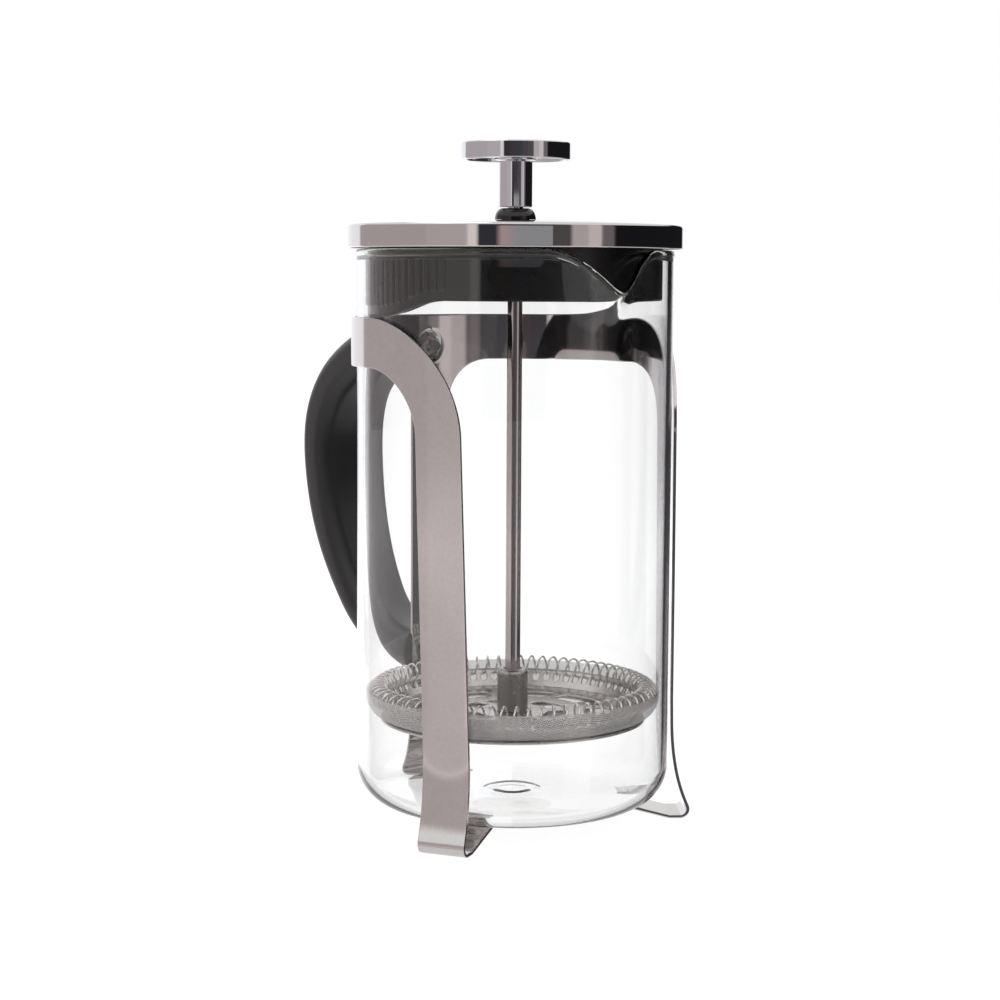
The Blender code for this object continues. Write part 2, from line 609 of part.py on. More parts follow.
# --- knob and rod -----------------------------------------------------------------------------------------------
def make_knob_cap(parent, chrome):
    edge = 0.0006
    socket = SPIGOT_RADIUS + SEAT_GAP
    recess_in = STEM_RADIUS + 0.0012
    recess_out = KNOB_RADIUS - 0.0018
    top = KNOB_TOP
    outline = [(0, top), (KNOB_RADIUS - edge, top), (KNOB_RADIUS, top - edge), (KNOB_RADIUS, KNOB_BASE + edge)]
    outline += [(KNOB_RADIUS - edge, KNOB_BASE), (recess_out, KNOB_BASE), (recess_out, KNOB_BASE + KNOB_RECESS)]
    outline += [(recess_in, KNOB_BASE + KNOB_RECESS), (recess_in, KNOB_BASE), (socket, KNOB_BASE)]
    outline += [(socket, KNOB_BASE + SPIGOT_HEIGHT + SEAT_GAP), (0, KNOB_BASE + SPIGOT_HEIGHT + SEAT_GAP)]
    return piece("knob_cap", turned(outline, 36), chrome, parent)


def make_knob_stem(parent, chrome):
    shoulder = KNOB_BASE - SEAT_GAP
    bore = ROD_RADIUS + SEAT_GAP
    bore_end = STEM_BASE + ROD_IN_KNOB + SEAT_GAP
    edge = 0.0004
    outline = [(bore, STEM_BASE), (STEM_RADIUS - edge, STEM_BASE), (STEM_RADIUS, STEM_BASE + edge)]
    outline += [(STEM_RADIUS, shoulder), (SPIGOT_RADIUS, shoulder), (SPIGOT_RADIUS, KNOB_BASE + SPIGOT_HEIGHT)]
    outline += [(0, KNOB_BASE + SPIGOT_HEIGHT), (0, bore_end), (bore, bore_end)]
    return piece("knob_stem", turned(outline, 24), chrome, parent)


def make_rod(parent, steel):
    base = COUPLING_BASE + STUD_IN_COUPLING + 2 * SEAT_GAP
    top = STEM_BASE + ROD_IN_KNOB
    edge = 0.0004
    outline = [(0, base), (ROD_RADIUS - edge, base), (ROD_RADIUS, base + edge), (ROD_RADIUS, top - edge)]
    outline += [(ROD_RADIUS - edge, top), (0, top)]
    return piece("rod", turned(outline, 20), steel, parent)


def make_coupling(parent, steel):
    """The sleeve that joins the rod to the filter's stud."""
    stud_bore = STUD_RADIUS + SEAT_GAP
    rod_bore = ROD_RADIUS + SEAT_GAP
    step_height = COUPLING_BASE + STUD_IN_COUPLING + SEAT_GAP
    top = COUPLING_BASE + COUPLING_HEIGHT
    shoulder = 0.0016
    outline = [(stud_bore, COUPLING_BASE), (COUPLING_RADIUS, COUPLING_BASE)]
    outline += arc((COUPLING_RADIUS - shoulder, top - shoulder), shoulder, 0, 90, 4)
    outline += [(rod_bore, top), (rod_bore, step_height), (stud_bore, step_height)]
    return piece("rod_coupling", turned(outline, 24), steel, parent)


# --- filter -----------------------------------------------------------------------------------------------------
def pressed_plate(rings, steps, is_slot, pierced_ring=None, margin=0.0):
    """A round pressed sheet with slots, and with a row of holes in the ring of faces numbered pierced_ring."""
    shape = bmesh.new()
    rows = []
    for radius, height in rings:
        angles = [2 * math.pi * step / steps for step in range(steps)]
        rows.append([shape.verts.new((radius * math.cos(a), radius * math.sin(a), height)) for a in angles])
    for ring, (row, following) in enumerate(zip(rows, rows[1:])):
        for step in range(steps):
            after = (step + 1) % steps
            corners = [row[step], row[after], following[after], following[step]]
            if ring == pierced_ring:
                shares = [(margin, 0.02), (1 - margin, 0.02), (1 - margin, 0.98), (margin, 0.98)]
                inner = []
                for across, up in shares:
                    low = corners[0].co.lerp(corners[1].co, across)
                    high = corners[3].co.lerp(corners[2].co, across)
                    inner.append(shape.verts.new(low.lerp(high, up)))
                for side in range(4):
                    turn = (side + 1) % 4
                    shape.faces.new((corners[side], corners[turn], inner[turn], inner[side]))
            elif not is_slot(ring, step):
                shape.faces.new(corners)
    return shape


def make_cross_plate(parent, steel):
    """The plate under the woven bowl, with two rings of slots and a turned-up rim."""
    hole = STUD_RADIUS + SEAT_GAP
    level = CROSS_LEVEL
    rings = [(hole, level), (0.008, level), (0.015, level), (0.023, level), (0.027, level), (0.035, level)]
    rings += [(CROSS_RADIUS - 0.0008, level), (CROSS_RADIUS - CROSS_SHEET / 2, level + CROSS_LIP)]

    def is_slot(ring, step):
        return (ring == 2 and step % 6 < 4) or (ring == 4 and (step + 3) % 6 < 4)

    shape = pressed_plate(rings, 36, is_slot)
    bmesh.ops.recalc_face_normals(shape, faces=shape.faces)
    plate = piece("cross_plate", shape, steel, parent)
    thicken(plate, CROSS_SHEET)
    return plate


def make_stud(parent, steel):
    """The threaded stud riveted through the cross plate."""
    head_base = FILTER_HEIGHT - SEAT_GAP - 0.0010
    head = 0.0046
    top = COUPLING_BASE + STUD_IN_COUPLING
    outline = [(0, head_base), (head - 0.0004, head_base), (head, head_base + 0.0004)]
    outline += [(head, FILTER_HEIGHT - SEAT_GAP), (STUD_RADIUS, FILTER_HEIGHT - SEAT_GAP)]
    outline += [(STUD_RADIUS, top - 0.0004), (STUD_RADIUS - 0.0004, top), (0, top)]
    return piece("filter_stud", turned(outline, 20), steel, parent)


def crossing():
    """Where the coil's wire passes through the spiral plate's rim, as (radius, height)."""
    radius = COIL_CENTRE + COIL_RADIUS * math.cos(COIL_PHASE)
    return radius, COIL_LEVEL + COIL_RADIUS * math.sin(COIL_PHASE)


def rim_foot():
    """Radius where the leaning rim leaves the flat of the spiral plate."""
    radius, height = crossing()
    return radius - (height - PLATE_LEVEL) * math.tan(RIM_LEAN)


def make_filter_mesh(parent, woven):
    """The woven bowl: flat on the cross plate, rounded up to the glass."""
    hole = STUD_RADIUS + SEAT_GAP
    start = rim_foot()
    rings = [(hole, MESH_LEVEL), (start, MESH_LEVEL)]
    for step in range(1, 5):
        angle = math.pi / 2 * step / 4
        radius = start + (BOWL_RADIUS - start) * math.sin(angle)
        rings.append((radius, MESH_LEVEL + BOWL_RISE * (1 - math.cos(angle))))
    rings.append((BOWL_RADIUS, MESH_LEVEL + BOWL_RISE + BOWL_LIP))
    shape = pressed_plate(rings, 40, lambda ring, step: False)
    bmesh.ops.recalc_face_normals(shape, faces=shape.faces)
    bowl = piece("filter_mesh", shape, woven, parent)
    thicken(bowl, MESH_SHEET)
    return bowl


def make_spiral_plate(parent, steel):
    """The dished plate whose leaning rim carries the coil, one hole for each turn."""
    hole = STUD_RADIUS + SEAT_GAP
    radius, height = crossing()
    lean = Vector((math.sin(RIM_LEAN), math.cos(RIM_LEAN)))
    low = -(height - PLATE_LEVEL) / lean.y
    stops = [low, -PIERCED_HEIGHT / 2, PIERCED_HEIGHT / 2, RIM_ABOVE_HOLE]
    rim = [(radius + lean.x * stop, height + lean.y * stop) for stop in stops]
    floor = rim_foot()
    level = PLATE_LEVEL
    rings = [(hole, level), (0.011, level), (0.019, level), (0.024, level), (floor - 0.005, level)] + rim

    def is_slot(ring, step):
        return (ring == 1 and step % 12 < 9) or (ring == 3 and (step + 6) % 9 < 7)

    shape = pressed_plate(rings, COIL_TURNS, is_slot, len(rings) - 3, (1 - PIERCED_SHARE) / 2)
    middle = 2 * math.pi * (COIL_PHASE / (2 * math.pi) - 0.5) / COIL_TURNS
    bmesh.ops.rotate(shape, cent=(0, 0, 0), matrix=Matrix.Rotation(middle, 3, "Z"), verts=shape.verts)
    bmesh.ops.recalc_face_normals(shape, faces=shape.faces)
    plate = piece("spiral_plate", shape, steel, parent)
    thicken(plate, PLATE_SHEET)
    return plate


def make_filter_spring(parent, steel):
    """The coil: one wire wound round and round a ring, its ends joined."""
    shape = bmesh.new()
    count = COIL_TURNS * WIRE_POINTS
    rings = []
    for step in range(count):
        phase = COIL_PHASE + 2 * math.pi * step / WIRE_POINTS
        turn = phase / COIL_TURNS
        out = Vector((math.cos(turn), math.sin(turn), 0))
        up = Vector((0, 0, 1))
        outward = out * math.cos(phase) + up * math.sin(phase)
        middle = out * COIL_CENTRE + up * COIL_LEVEL + outward * COIL_RADIUS
        side = Vector((-math.sin(turn), math.cos(turn), 0))
        ring = []
        for corner in range(WIRE_SIDES):
            angle = 2 * math.pi * corner / WIRE_SIDES
            ring.append(shape.verts.new(middle + (outward * math.cos(angle) + side * math.sin(angle)) * WIRE_RADIUS))
        rings.append(ring)
    for ring, following in zip(rings, rings[1:] + rings[:1]):
        for corner in range(WIRE_SIDES):
            after = (corner + 1) % WIRE_SIDES
            shape.faces.new((ring[corner], ring[after], following[after], following[corner]))
    bmesh.ops.recalc_face_normals(shape, faces=shape.faces)
    return piece("filter_spring", shape, steel, parent)


# --- the whole press --------------------------------------------------------------------------------------------
def main():
    for thing in list(bpy.data.objects):
        bpy.data.objects.remove(thing)
    axis = bpy.data.objects.new("press_axis", None)
    bpy.context.collection.objects.link(axis)
    axis.location = (AXIS_X, 0, 0)

    glass = finish("borosilicate_glass", (0.95, 0.98, 0.97), 0.0, transmission=1.0)
    steel = finish("stamped_steel", (0.62, 0.59, 0.58), 0.22, metallic=1.0)
    lid_steel = finish("polished_lid_steel", (0.68, 0.65, 0.64), 0.10, metallic=1.0)
    chrome = finish("chromed_knob", (0.72, 0.72, 0.75), 0.05, metallic=1.0)
    wire = finish("bright_wire", (0.60, 0.57, 0.54), 0.18, metallic=1.0)
    woven = finish("woven_steel", (0.50, 0.48, 0.46), 0.40, metallic=1.0)
    black = finish("black_plastic", (0.012, 0.012, 0.014), 0.45)

    make_frame(axis, steel)
    make_screw("handle_screw_upper", UPPER_SCREW_HEIGHT, axis, wire)
    make_screw("handle_screw_lower", LOWER_SCREW_HEIGHT, axis, wire)
    make_handle(axis, black)
    make_beaker(axis, glass)
    make_lid_shell(axis, lid_steel)
    make_lid_liner(axis, black)
    make_bush(axis, black)
    make_bush_nut(axis, black)
    make_knob_cap(axis, chrome)
    make_knob_stem(axis, chrome)
    make_rod(axis, wire)
    make_coupling(axis, wire)
    make_cross_plate(axis, steel)
    make_stud(axis, steel)
    make_filter_mesh(axis, woven)
    make_spiral_plate(axis, steel)
    make_filter_spring(axis, wire)


main()
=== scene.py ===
# %% [markdown]
# # A french press, finished for its picture
#
# The working model of the press is already made: a glass beaker in a stamped steel frame, a handle, a lid
# and a plunger. It arrives as the *frame* of this notebook, with every piece at its real size and place.
# The steps below give each piece the fine surface that the working model leaves out: rounded edges, ribs,
# pressed dimples, a wound coil, woven gauze, and a finish made of shader nodes.

# %% load the frame
import math

import bmesh
import bpy
from mathutils import Matrix, Vector


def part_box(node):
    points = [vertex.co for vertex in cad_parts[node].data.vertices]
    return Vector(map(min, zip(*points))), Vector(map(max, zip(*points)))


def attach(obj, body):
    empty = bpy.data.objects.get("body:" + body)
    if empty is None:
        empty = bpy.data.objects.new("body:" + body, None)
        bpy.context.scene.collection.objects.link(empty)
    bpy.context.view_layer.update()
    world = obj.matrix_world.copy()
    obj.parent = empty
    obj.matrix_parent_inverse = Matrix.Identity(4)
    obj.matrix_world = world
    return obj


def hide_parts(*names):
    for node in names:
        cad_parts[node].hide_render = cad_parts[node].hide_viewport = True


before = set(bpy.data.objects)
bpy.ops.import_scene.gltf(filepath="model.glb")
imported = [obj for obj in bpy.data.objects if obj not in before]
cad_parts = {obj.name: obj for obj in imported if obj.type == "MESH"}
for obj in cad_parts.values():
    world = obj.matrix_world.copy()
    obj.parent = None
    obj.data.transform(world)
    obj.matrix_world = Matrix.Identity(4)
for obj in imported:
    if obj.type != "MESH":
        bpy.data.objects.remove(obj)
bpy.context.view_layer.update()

print("nodes:", len(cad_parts))

# %% [markdown]
# ## Where things are
#
# Every round piece stands on one upright axis, which the box of the rod marks best. Levels and radii come
# from the boxes of the pieces too. Only what a box can't tell, such as a wall's thickness, is a number, in
# metres.

# %% levels and radii from the frame
rod_low, rod_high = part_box("rod")
AXIS = Vector(((rod_low.x + rod_high.x) / 2, 0, 0))


def radius_of(node):
    """Half of a round piece's width across the press."""
    low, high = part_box(node)
    return (high.y - low.y) / 2


def bottom(node):
    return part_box(node)[0].z


def top(node):
    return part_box(node)[1].z


GAP = 0.0003               # between pieces that rest on each other
print(f"axis at x = {AXIS.x:.4f}, beaker radius {radius_of('beaker'):.4f}, rim at {top('beaker'):.4f}")

# %% [markdown]
# ## The camera
#
# The press is looked at from in front of its left leg, from about the height of the glass's rim. The camera
# is built from plain facts: how far away, which way round, how high, and where it points.

# %% camera
VIEW_AZIMUTH = math.radians(54.6)      # 0 looks along +Y
CAMERA_DISTANCE = 0.6727               # from the axis, level
CAMERA_HEIGHT = 0.1749
CAMERA_PITCH = math.radians(6.165)     # downwards
CAMERA_YAW = 0.0065                    # to the left of the axis
CAMERA_ROLL = math.radians(0.30)
FOCAL_LENGTH = 76.23                   # millimetres, on a sensor as wide as SENSOR_WIDTH
SENSOR_WIDTH = 36.0
UP = Vector((0, 0, 1))

towards_camera = Vector((math.sin(VIEW_AZIMUTH), -math.cos(VIEW_AZIMUTH), 0))
image_right = Vector((math.cos(VIEW_AZIMUTH), math.sin(VIEW_AZIMUTH), 0))


def make_camera():
    level = (-towards_camera * math.cos(CAMERA_YAW) - image_right * math.sin(CAMERA_YAW)).normalized()
    forward = (level * math.cos(CAMERA_PITCH) - UP * math.sin(CAMERA_PITCH)).normalized()
    right = forward.cross(UP).normalized()
    up = right.cross(forward)
    rolled_right = right * math.cos(CAMERA_ROLL) + up * math.sin(CAMERA_ROLL)
    rolled_up = up * math.cos(CAMERA_ROLL) - right * math.sin(CAMERA_ROLL)
    place = Matrix((rolled_right, rolled_up, -forward)).transposed().to_4x4()
    place.translation = AXIS + towards_camera * CAMERA_DISTANCE + UP * CAMERA_HEIGHT
    lens = bpy.data.cameras.new("studio_camera")
    lens.sensor_width = SENSOR_WIDTH
    lens.lens = FOCAL_LENGTH
    lens.clip_start = 0.01
    camera = bpy.data.objects.new("studio_camera", lens)
    camera.matrix_world = place
    bpy.context.scene.collection.objects.link(camera)
    bpy.context.scene.camera = camera
    return camera


camera = make_camera()
print("camera at", [round(value, 3) for value in camera.matrix_world.translation])

# %% [markdown]
# ## Shader maths as Python
#
# One small class stands for the output of a node and overloads the arithmetic operators: `0.2 + 0.1 *
# noise` adds the Math nodes that it says. A second class holds a node tree and adds any other node.

# %% a small language for shader nodes
def operator(operation, reflected=False):
    """The method behind an arithmetic operator: one Math node, with its inputs swapped if reflected."""
    def method(self, other):
        return self.math(operation, *((other, self) if reflected else (self, other)))
    return method


class Output:
    """The output of a node, usable in arithmetic."""

    def __init__(self, nodes, socket):
        self.nodes = nodes
        self.socket = socket

    def math(self, operation, *values):
        """A Math node of the values, or of this output alone."""
        return self.nodes.add("ShaderNodeMath", {"operation": operation}, dict(enumerate(values or (self,))))

    __add__, __radd__ = operator("ADD"), operator("ADD", reflected=True)
    __sub__, __rsub__ = operator("SUBTRACT"), operator("SUBTRACT", reflected=True)
    __mul__, __rmul__ = operator("MULTIPLY"), operator("MULTIPLY", reflected=True)
    __truediv__ = operator("DIVIDE")
    __gt__, __lt__ = operator("GREATER_THAN"), operator("LESS_THAN")


class Nodes:
    """A node tree that nodes are added to by type, settings and socket values."""

    def __init__(self, tree):
        self.tree = tree

    def add(self, kind, settings=None, sockets=None, output=0):
        node = self.tree.nodes.new(kind)
        for name, value in (settings or {}).items():
            if name == "stops":
                self.set_stops(node.color_ramp, value)
            else:
                setattr(node, name, value)
        for name, value in (sockets or {}).items():
            if isinstance(value, Output):
                self.tree.links.new(value.socket, node.inputs[name])
            else:
                node.inputs[name].default_value = value
        return Output(self, node.outputs[output])

    def set_stops(self, ramp, stops):
        """Stops are (position, colour) or (position, grey)."""
        while len(ramp.elements) < len(stops):
            ramp.elements.new(1.0)
        for element, (position, colour) in zip(ramp.elements, stops):
            element.position = position
            element.color = (*colour, 1.0) if isinstance(colour, tuple) else (colour, colour, colour, 1.0)

    def mix(self, share, first, second):
        """Goes from the first colour to the second as share goes from 0 to 1."""
        first = (*first, 1.0) if isinstance(first, tuple) else first
        second = (*second, 1.0) if isinstance(second, tuple) else second
        settings = {"data_type": "RGBA"}
        return self.add("ShaderNodeMix", settings, {0: share, 6: first, 7: second}, output=2)

    def ramp(self, value, start, end, reach=1.0):
        """Goes from 0 to reach as the value goes from start to end, and stays level outside them."""
        sockets = {"Value": value, "From Min": start, "From Max": end, "To Max": reach}
        return self.add("ShaderNodeMapRange", None, sockets)

    def noise(self, where, scale, detail=2.0, roughness=0.5):
        sockets = {"Vector": where, "Scale": scale, "Detail": detail, "Roughness": roughness}
        return self.add("ShaderNodeTexNoise", None, sockets)

    def here(self):
        """The point being shaded, in metres from the piece's own origin."""
        return self.add("ShaderNodeTexCoord", output="Object")

    def dot(self, vector, other):
        return self.add("ShaderNodeVectorMath", {"operation": "DOT_PRODUCT"}, {0: vector, 1: other}, output=1)

    def scaled(self, vector, factors):
        return self.add("ShaderNodeVectorMath", {"operation": "MULTIPLY"}, {0: vector, 1: factors})

    def bump(self, height, distance, strength=1.0):
        sockets = {"Height": height, "Distance": distance, "Strength": strength}
        return self.add("ShaderNodeBump", None, sockets)


class Finish(Nodes):
    """A material with one Principled shader.  Constants are set on it, and what varies is linked to it."""

    def __init__(self, name, **constants):
        self.material = bpy.data.materials.new(name)
        self.material.use_nodes = True
        super().__init__(self.material.node_tree)
        self.shader = self.tree.nodes["Principled BSDF"]
        for socket, value in constants.items():
            self.set(socket.replace("_", " "), value)

    def set(self, socket, value):
        if isinstance(value, Output):
            self.tree.links.new(value.socket, self.shader.inputs[socket])
        else:
            self.shader.inputs[socket].default_value = value


print("shader tools ready")

# %% [markdown]
# ## Studio
#
# Polished metal shows little but its surroundings. A product studio has large white panels, and black cards
# between them that draw dark lines along chrome and glass. Here they are sectors of a sky: the shader works
# out the compass direction of each ray and looks up how bright the studio is there. Rays that come straight
# from the eye, or only through clear glass, see a plain white backdrop.

# %% studio sky
WHITE = (1.0, 1.0, 1.0)
CARD = (0.012, 0.012, 0.014)
# Each sector of the studio: where it starts, in degrees to the right of the camera, and its colour.
SECTORS = [
    (-180, (1.20, 1.20, 1.25)),
    (-131, (0.56, 0.505, 0.51)),
    (-62, (0.60, 0.55, 0.55)),
    (-32, (1.00, 0.93, 0.92)),
    (-25, (0.045, 0.045, 0.056)),
    (-12, (0.070, 0.050, 0.050)),
    (-3, (0.062, 0.060, 0.072)),
    (14, (0.085, 0.080, 0.088)),
    (26, (0.110, 0.100, 0.100)),
    (38, (0.60, 0.545, 0.555)),
    (50, (0.78, 0.70, 0.70)),
    (60, (0.20, 0.18, 0.19)),
    (70, CARD),
    (163, WHITE),
]
SOFT_EDGE = 1.8            # degrees over which one sector turns into the next
# The panels aren't lit evenly from top to bottom: height of a ray's direction, and how bright it is there.
GLOW = [
    (-0.30, 1.02), (-0.24, 1.08), (-0.20, 1.12), (-0.16, 1.14),
    (-0.13, 1.42), (-0.10, 1.04), (-0.07, 0.90), (0.0, 0.93),
]
HAZE = (1.0, 0.94, 0.92)   # stray light that greys the dark cards below the level of the eye
HAZE_SHARE = 0.030
# A pale strip of room in front, at the level of the lid: two stretches, each coming in between two compass
# directions, and where the strip ends.
STRIP_LEVELS = (0.002, 0.034)
STRIP_STRETCHES = [(-13, -9, (0.50, 0.39, 0.39)), (-6, 2, (0.36, 0.375, 0.40))]
STRIP_END = 25
# White panels close the room above, and its pale floor below, between these heights.
CEILING = (0.34, 0.42)
ROOM_FLOOR = (-0.34, -0.42)
ROOM_FLOOR_COLOUR = (0.86, 0.85, 0.85)
# Inside the wall of the glass a ray mostly finds white, but for a narrow dark belt near the level of the eye.
WALL_WHITE = 0.8
WALL_BELT_MIDDLE = -0.015
WALL_BELT_HALF = 0.065
WALL_END = 60


def make_sky():
    world = bpy.data.worlds.new("studio")
    bpy.context.scene.world = world
    world.use_nodes = True
    sky = Nodes(world.node_tree)
    way = sky.add("ShaderNodeTexCoord", output="Generated")
    height = sky.dot(way, (0, 0, 1))
    facing = {0: sky.dot(way, image_right), 1: sky.dot(way, towards_camera)}
    compass = sky.add("ShaderNodeMath", {"operation": "ARCTAN2"}, facing) * (180 / math.pi)
    stops = [(0.0, SECTORS[0][1])]
    for (start, colour), (_, before) in zip(SECTORS[1:], SECTORS):
        stops.append(((start - SOFT_EDGE / 2 + 180) / 360, before))
        stops.append(((start + SOFT_EDGE / 2 + 180) / 360, colour))
    around = sky.add("ShaderNodeValToRGB", {"stops": stops}, {"Fac": compass / 360 + 0.5})
    reach = 2 * max(level for _, level in GLOW)
    stops = [(where + 0.5, level / reach) for where, level in GLOW]
    glow = sky.add("ShaderNodeValToRGB", {"stops": stops}, {"Fac": height + 0.5})
    studio = sky.scaled(sky.scaled(around, glow), (reach, reach, reach))
    studio = sky.mix(sky.ramp(height, 0.0, -0.03, HAZE_SHARE), studio, HAZE)
    at_lid = (height > STRIP_LEVELS[0]) * (height < STRIP_LEVELS[1]) * (compass < STRIP_END)
    for first, last, colour in STRIP_STRETCHES:
        studio = sky.mix(at_lid * sky.ramp(compass, first, last), studio, colour)
    studio = sky.mix(sky.ramp(height, *CEILING), studio, WHITE)
    studio = sky.mix(sky.ramp(height, *ROOM_FLOOR), studio, ROOM_FLOOR_COLOUR)
    kinds = ("Glossy", "Diffuse", "Transmission")
    glossy, diffuse, passed = [sky.add("ShaderNodeLightPath", output=kind + " Depth") for kind in kinds]
    off_belt = (height - WALL_BELT_MIDDLE).math("ABSOLUTE") > WALL_BELT_HALF
    in_wall = (passed > 1.5) * (passed < 2.5) * off_belt * (compass < WALL_END)
    studio = sky.mix(in_wall * WALL_WHITE, studio, WHITE)
    colour = sky.mix((glossy + diffuse) > 0.5, WHITE, studio)
    sky.tree.links.new(colour.socket, world.node_tree.nodes["Background"].inputs["Color"])


make_sky()
bpy.context.scene.view_settings.view_transform = "Standard"
print("studio sectors:", len(SECTORS))

# %% [markdown]
# ## Floor and lamp
#
# The floor glows a little, so that it runs into the white backdrop without a line and keeps only a faint
# shadow. Polished pieces don't mirror it, because a real sweep curves up and away. One large soft lamp
# overhead gives the shadows a direction.

# %% floor and lamp
def mesh_of(shape, name):
    """Turns a bmesh into a mesh and frees it."""
    mesh = bpy.data.meshes.new(name)
    shape.to_mesh(mesh)
    shape.free()
    return mesh


def make_floor():
    shape = bmesh.new()
    bmesh.ops.create_grid(shape, x_segments=8, y_segments=8, size=3.0)
    floor = bpy.data.objects.new("floor", mesh_of(shape, "floor"))
    bpy.context.scene.collection.objects.link(floor)
    nodes = Finish("pale_floor", Roughness=1.0, Specular_IOR_Level=0.0, Emission_Strength=1.0)
    nodes.set("Base Color", (0.20, 0.20, 0.20, 1.0))
    grain = nodes.noise(nodes.here(), 3.0)
    nodes.set("Emission Color", nodes.mix(grain, (0.93, 0.93, 0.93), (0.95, 0.95, 0.95)))
    glossy = nodes.add("ShaderNodeLightPath", output="Glossy Depth")
    clear = nodes.add("ShaderNodeBsdfTransparent")
    lit = Output(nodes, nodes.shader.outputs[0])
    mixed = nodes.add("ShaderNodeMixShader", None, {0: glossy > 0.5, 1: lit, 2: clear})
    nodes.tree.links.new(mixed.socket, nodes.tree.nodes["Material Output"].inputs["Surface"])
    floor.data.materials.append(nodes.material)


def make_lamp():
    light = bpy.data.lights.new("overhead_softbox", "AREA")
    light.shape = "RECTANGLE"
    light.size = 0.9
    light.size_y = 0.6
    light.energy = 3.0
    lamp = bpy.data.objects.new("overhead_softbox", light)
    lamp.location = AXIS + UP * 1.3 - image_right * 0.5
    lamp.rotation_euler = (lamp.location - AXIS - UP * 0.1).to_track_quat("Z", "Y").to_euler()
    lamp.visible_camera = False
    lamp.visible_transmission = False
    bpy.context.scene.collection.objects.link(lamp)


make_floor()
make_lamp()
print("floor and lamp in place")

# %% [markdown]
# ## Tools for shapes
#
# Nearly every piece is either *turned*, an outline spun round the axis, or *skinned*, a grid of points with
# faces between neighbours. Real edges are never quite sharp, and a mirror shows it at once, so outlines are
# corners with a fillet radius, and strips of sheet get a Bevel modifier.

# %% shape tools
def steps_between(start, end, count):
    """Evenly spaced values, both ends included."""
    return [start + (end - start) * step / count for step in range(count + 1)]


def smooth_step(value):
    """Goes smoothly from 0 to 1 as the value does, and stays level outside."""
    value = min(1.0, max(0.0, value))
    return value * value * (3 - 2 * value)


def filleted(corners, steps=5):
    """A closed outline from corners (x, z, radius), each rounded with its own radius."""
    outline = []
    for index, (x, z, radius) in enumerate(corners):
        here = Vector((x, z))
        before = Vector(corners[index - 1][:2]) - here
        after = Vector(corners[(index + 1) % len(corners)][:2]) - here
        if radius == 0:
            outline.append((x, z))
            continue
        half = before.angle(after) / 2
        centre = here + (before.normalized() + after.normalized()).normalized() * radius / math.sin(half)
        start = here + before.normalized() * radius / math.tan(half) - centre
        end = here + after.normalized() * radius / math.tan(half) - centre
        for step in range(steps + 1):
            point = centre + start.normalized().slerp(end.normalized(), step / steps) * radius
            outline.append((point.x, point.y))
    return outline


def arc(centre, radius, start, end, steps):
    """Points on an arc, both ends included, angles in degrees."""
    angles = [math.radians(angle) for angle in steps_between(start, end, steps)]
    return [(centre[0] + radius * math.cos(angle), centre[1] + radius * math.sin(angle)) for angle in angles]


def skin(rows, close_rows=False, close_columns=False):
    """A bmesh with a face between neighbouring points of a grid.  Points that coincide become one."""
    shape = bmesh.new()
    grid = [[shape.verts.new(point) for point in row] for row in rows]
    pairs = list(zip(grid, grid[1:]))
    if close_rows:
        pairs.append((grid[-1], grid[0]))
    for row, following in pairs:
        sides = list(zip(range(len(row)), range(1, len(row))))
        if close_columns:
            sides.append((len(row) - 1, 0))
        for side, after in sides:
            shape.faces.new((row[side], row[after], following[after], following[side]))
    bmesh.ops.remove_doubles(shape, verts=shape.verts, dist=1e-7)
    bmesh.ops.recalc_face_normals(shape, faces=shape.faces)
    return shape


def round_place(radius, angle, height):
    return Vector((radius * math.cos(angle), radius * math.sin(angle), height))


def turned(outline, steps=128, place=round_place):
    """A closed outline of (radius, height) spun round the axis."""
    angles = steps_between(0, 2 * math.pi, steps)[:-1]
    rows = [[place(radius, angle, height) for angle in angles] for radius, height in outline]
    return skin(rows, close_rows=True, close_columns=True)


def make_piece(name, shape, finish, body, stands_for, smooth=40):
    """A bmesh becomes a piece that rides on a body and stands for nodes of the frame."""
    mesh = mesh_of(shape, name)
    mesh.materials.append(finish.material)
    mesh.shade_smooth()
    mesh.set_sharp_from_angle(angle=math.radians(smooth))
    thing = bpy.data.objects.new(name, mesh)
    thing.location = AXIS
    bpy.context.scene.collection.objects.link(thing)
    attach(thing, body)
    if stands_for:
        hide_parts(stands_for)
    print(f"{name}: {len(mesh.polygons)} faces")
    return thing


def refined(thing, name, kind, **settings):
    """Adds a modifier with its settings to a piece."""
    step = thing.modifiers.new(name, kind)
    for setting, value in settings.items():
        setattr(step, setting, value)
    return thing


def keep_flats(thing):
    """Weighted normals keep flat and straight parts true right up to their rounded edges."""
    return refined(thing, "true_flats", "WEIGHTED_NORMAL", mode="FACE_AREA", keep_sharp=True)


def bevelled(thing, width):
    settings = {"width": width, "segments": 2, "limit_method": "ANGLE", "angle_limit": math.radians(50)}
    return refined(thing, "soft_edges", "BEVEL", **settings)


def thickened(thing, thickness):
    return refined(thing, "thickness", "SOLIDIFY", thickness=thickness, offset=0.0, use_even_offset=True)


def join(shape, other):
    """Adds one bmesh to another."""
    mesh = mesh_of(other, "joined")
    shape.from_mesh(mesh)
    bpy.data.meshes.remove(mesh)


def cut_with(thing, shape, name):
    """Cuts a shape out of a piece.  The cutter itself is never shown, so the cut is applied at once."""
    tool = bpy.data.objects.new(name, mesh_of(shape, name))
    tool.location = AXIS
    bpy.context.scene.collection.objects.link(tool)
    refined(thing, name, "BOOLEAN", operation="DIFFERENCE", solver="EXACT", object=tool)
    bpy.context.view_layer.update()
    result = bpy.data.meshes.new_from_object(thing.evaluated_get(bpy.context.evaluated_depsgraph_get()))
    thing.modifiers.remove(thing.modifiers[name])
    result.name = thing.name
    thing.data = result
    bpy.data.objects.remove(tool)
    return thing


print("shape tools ready")

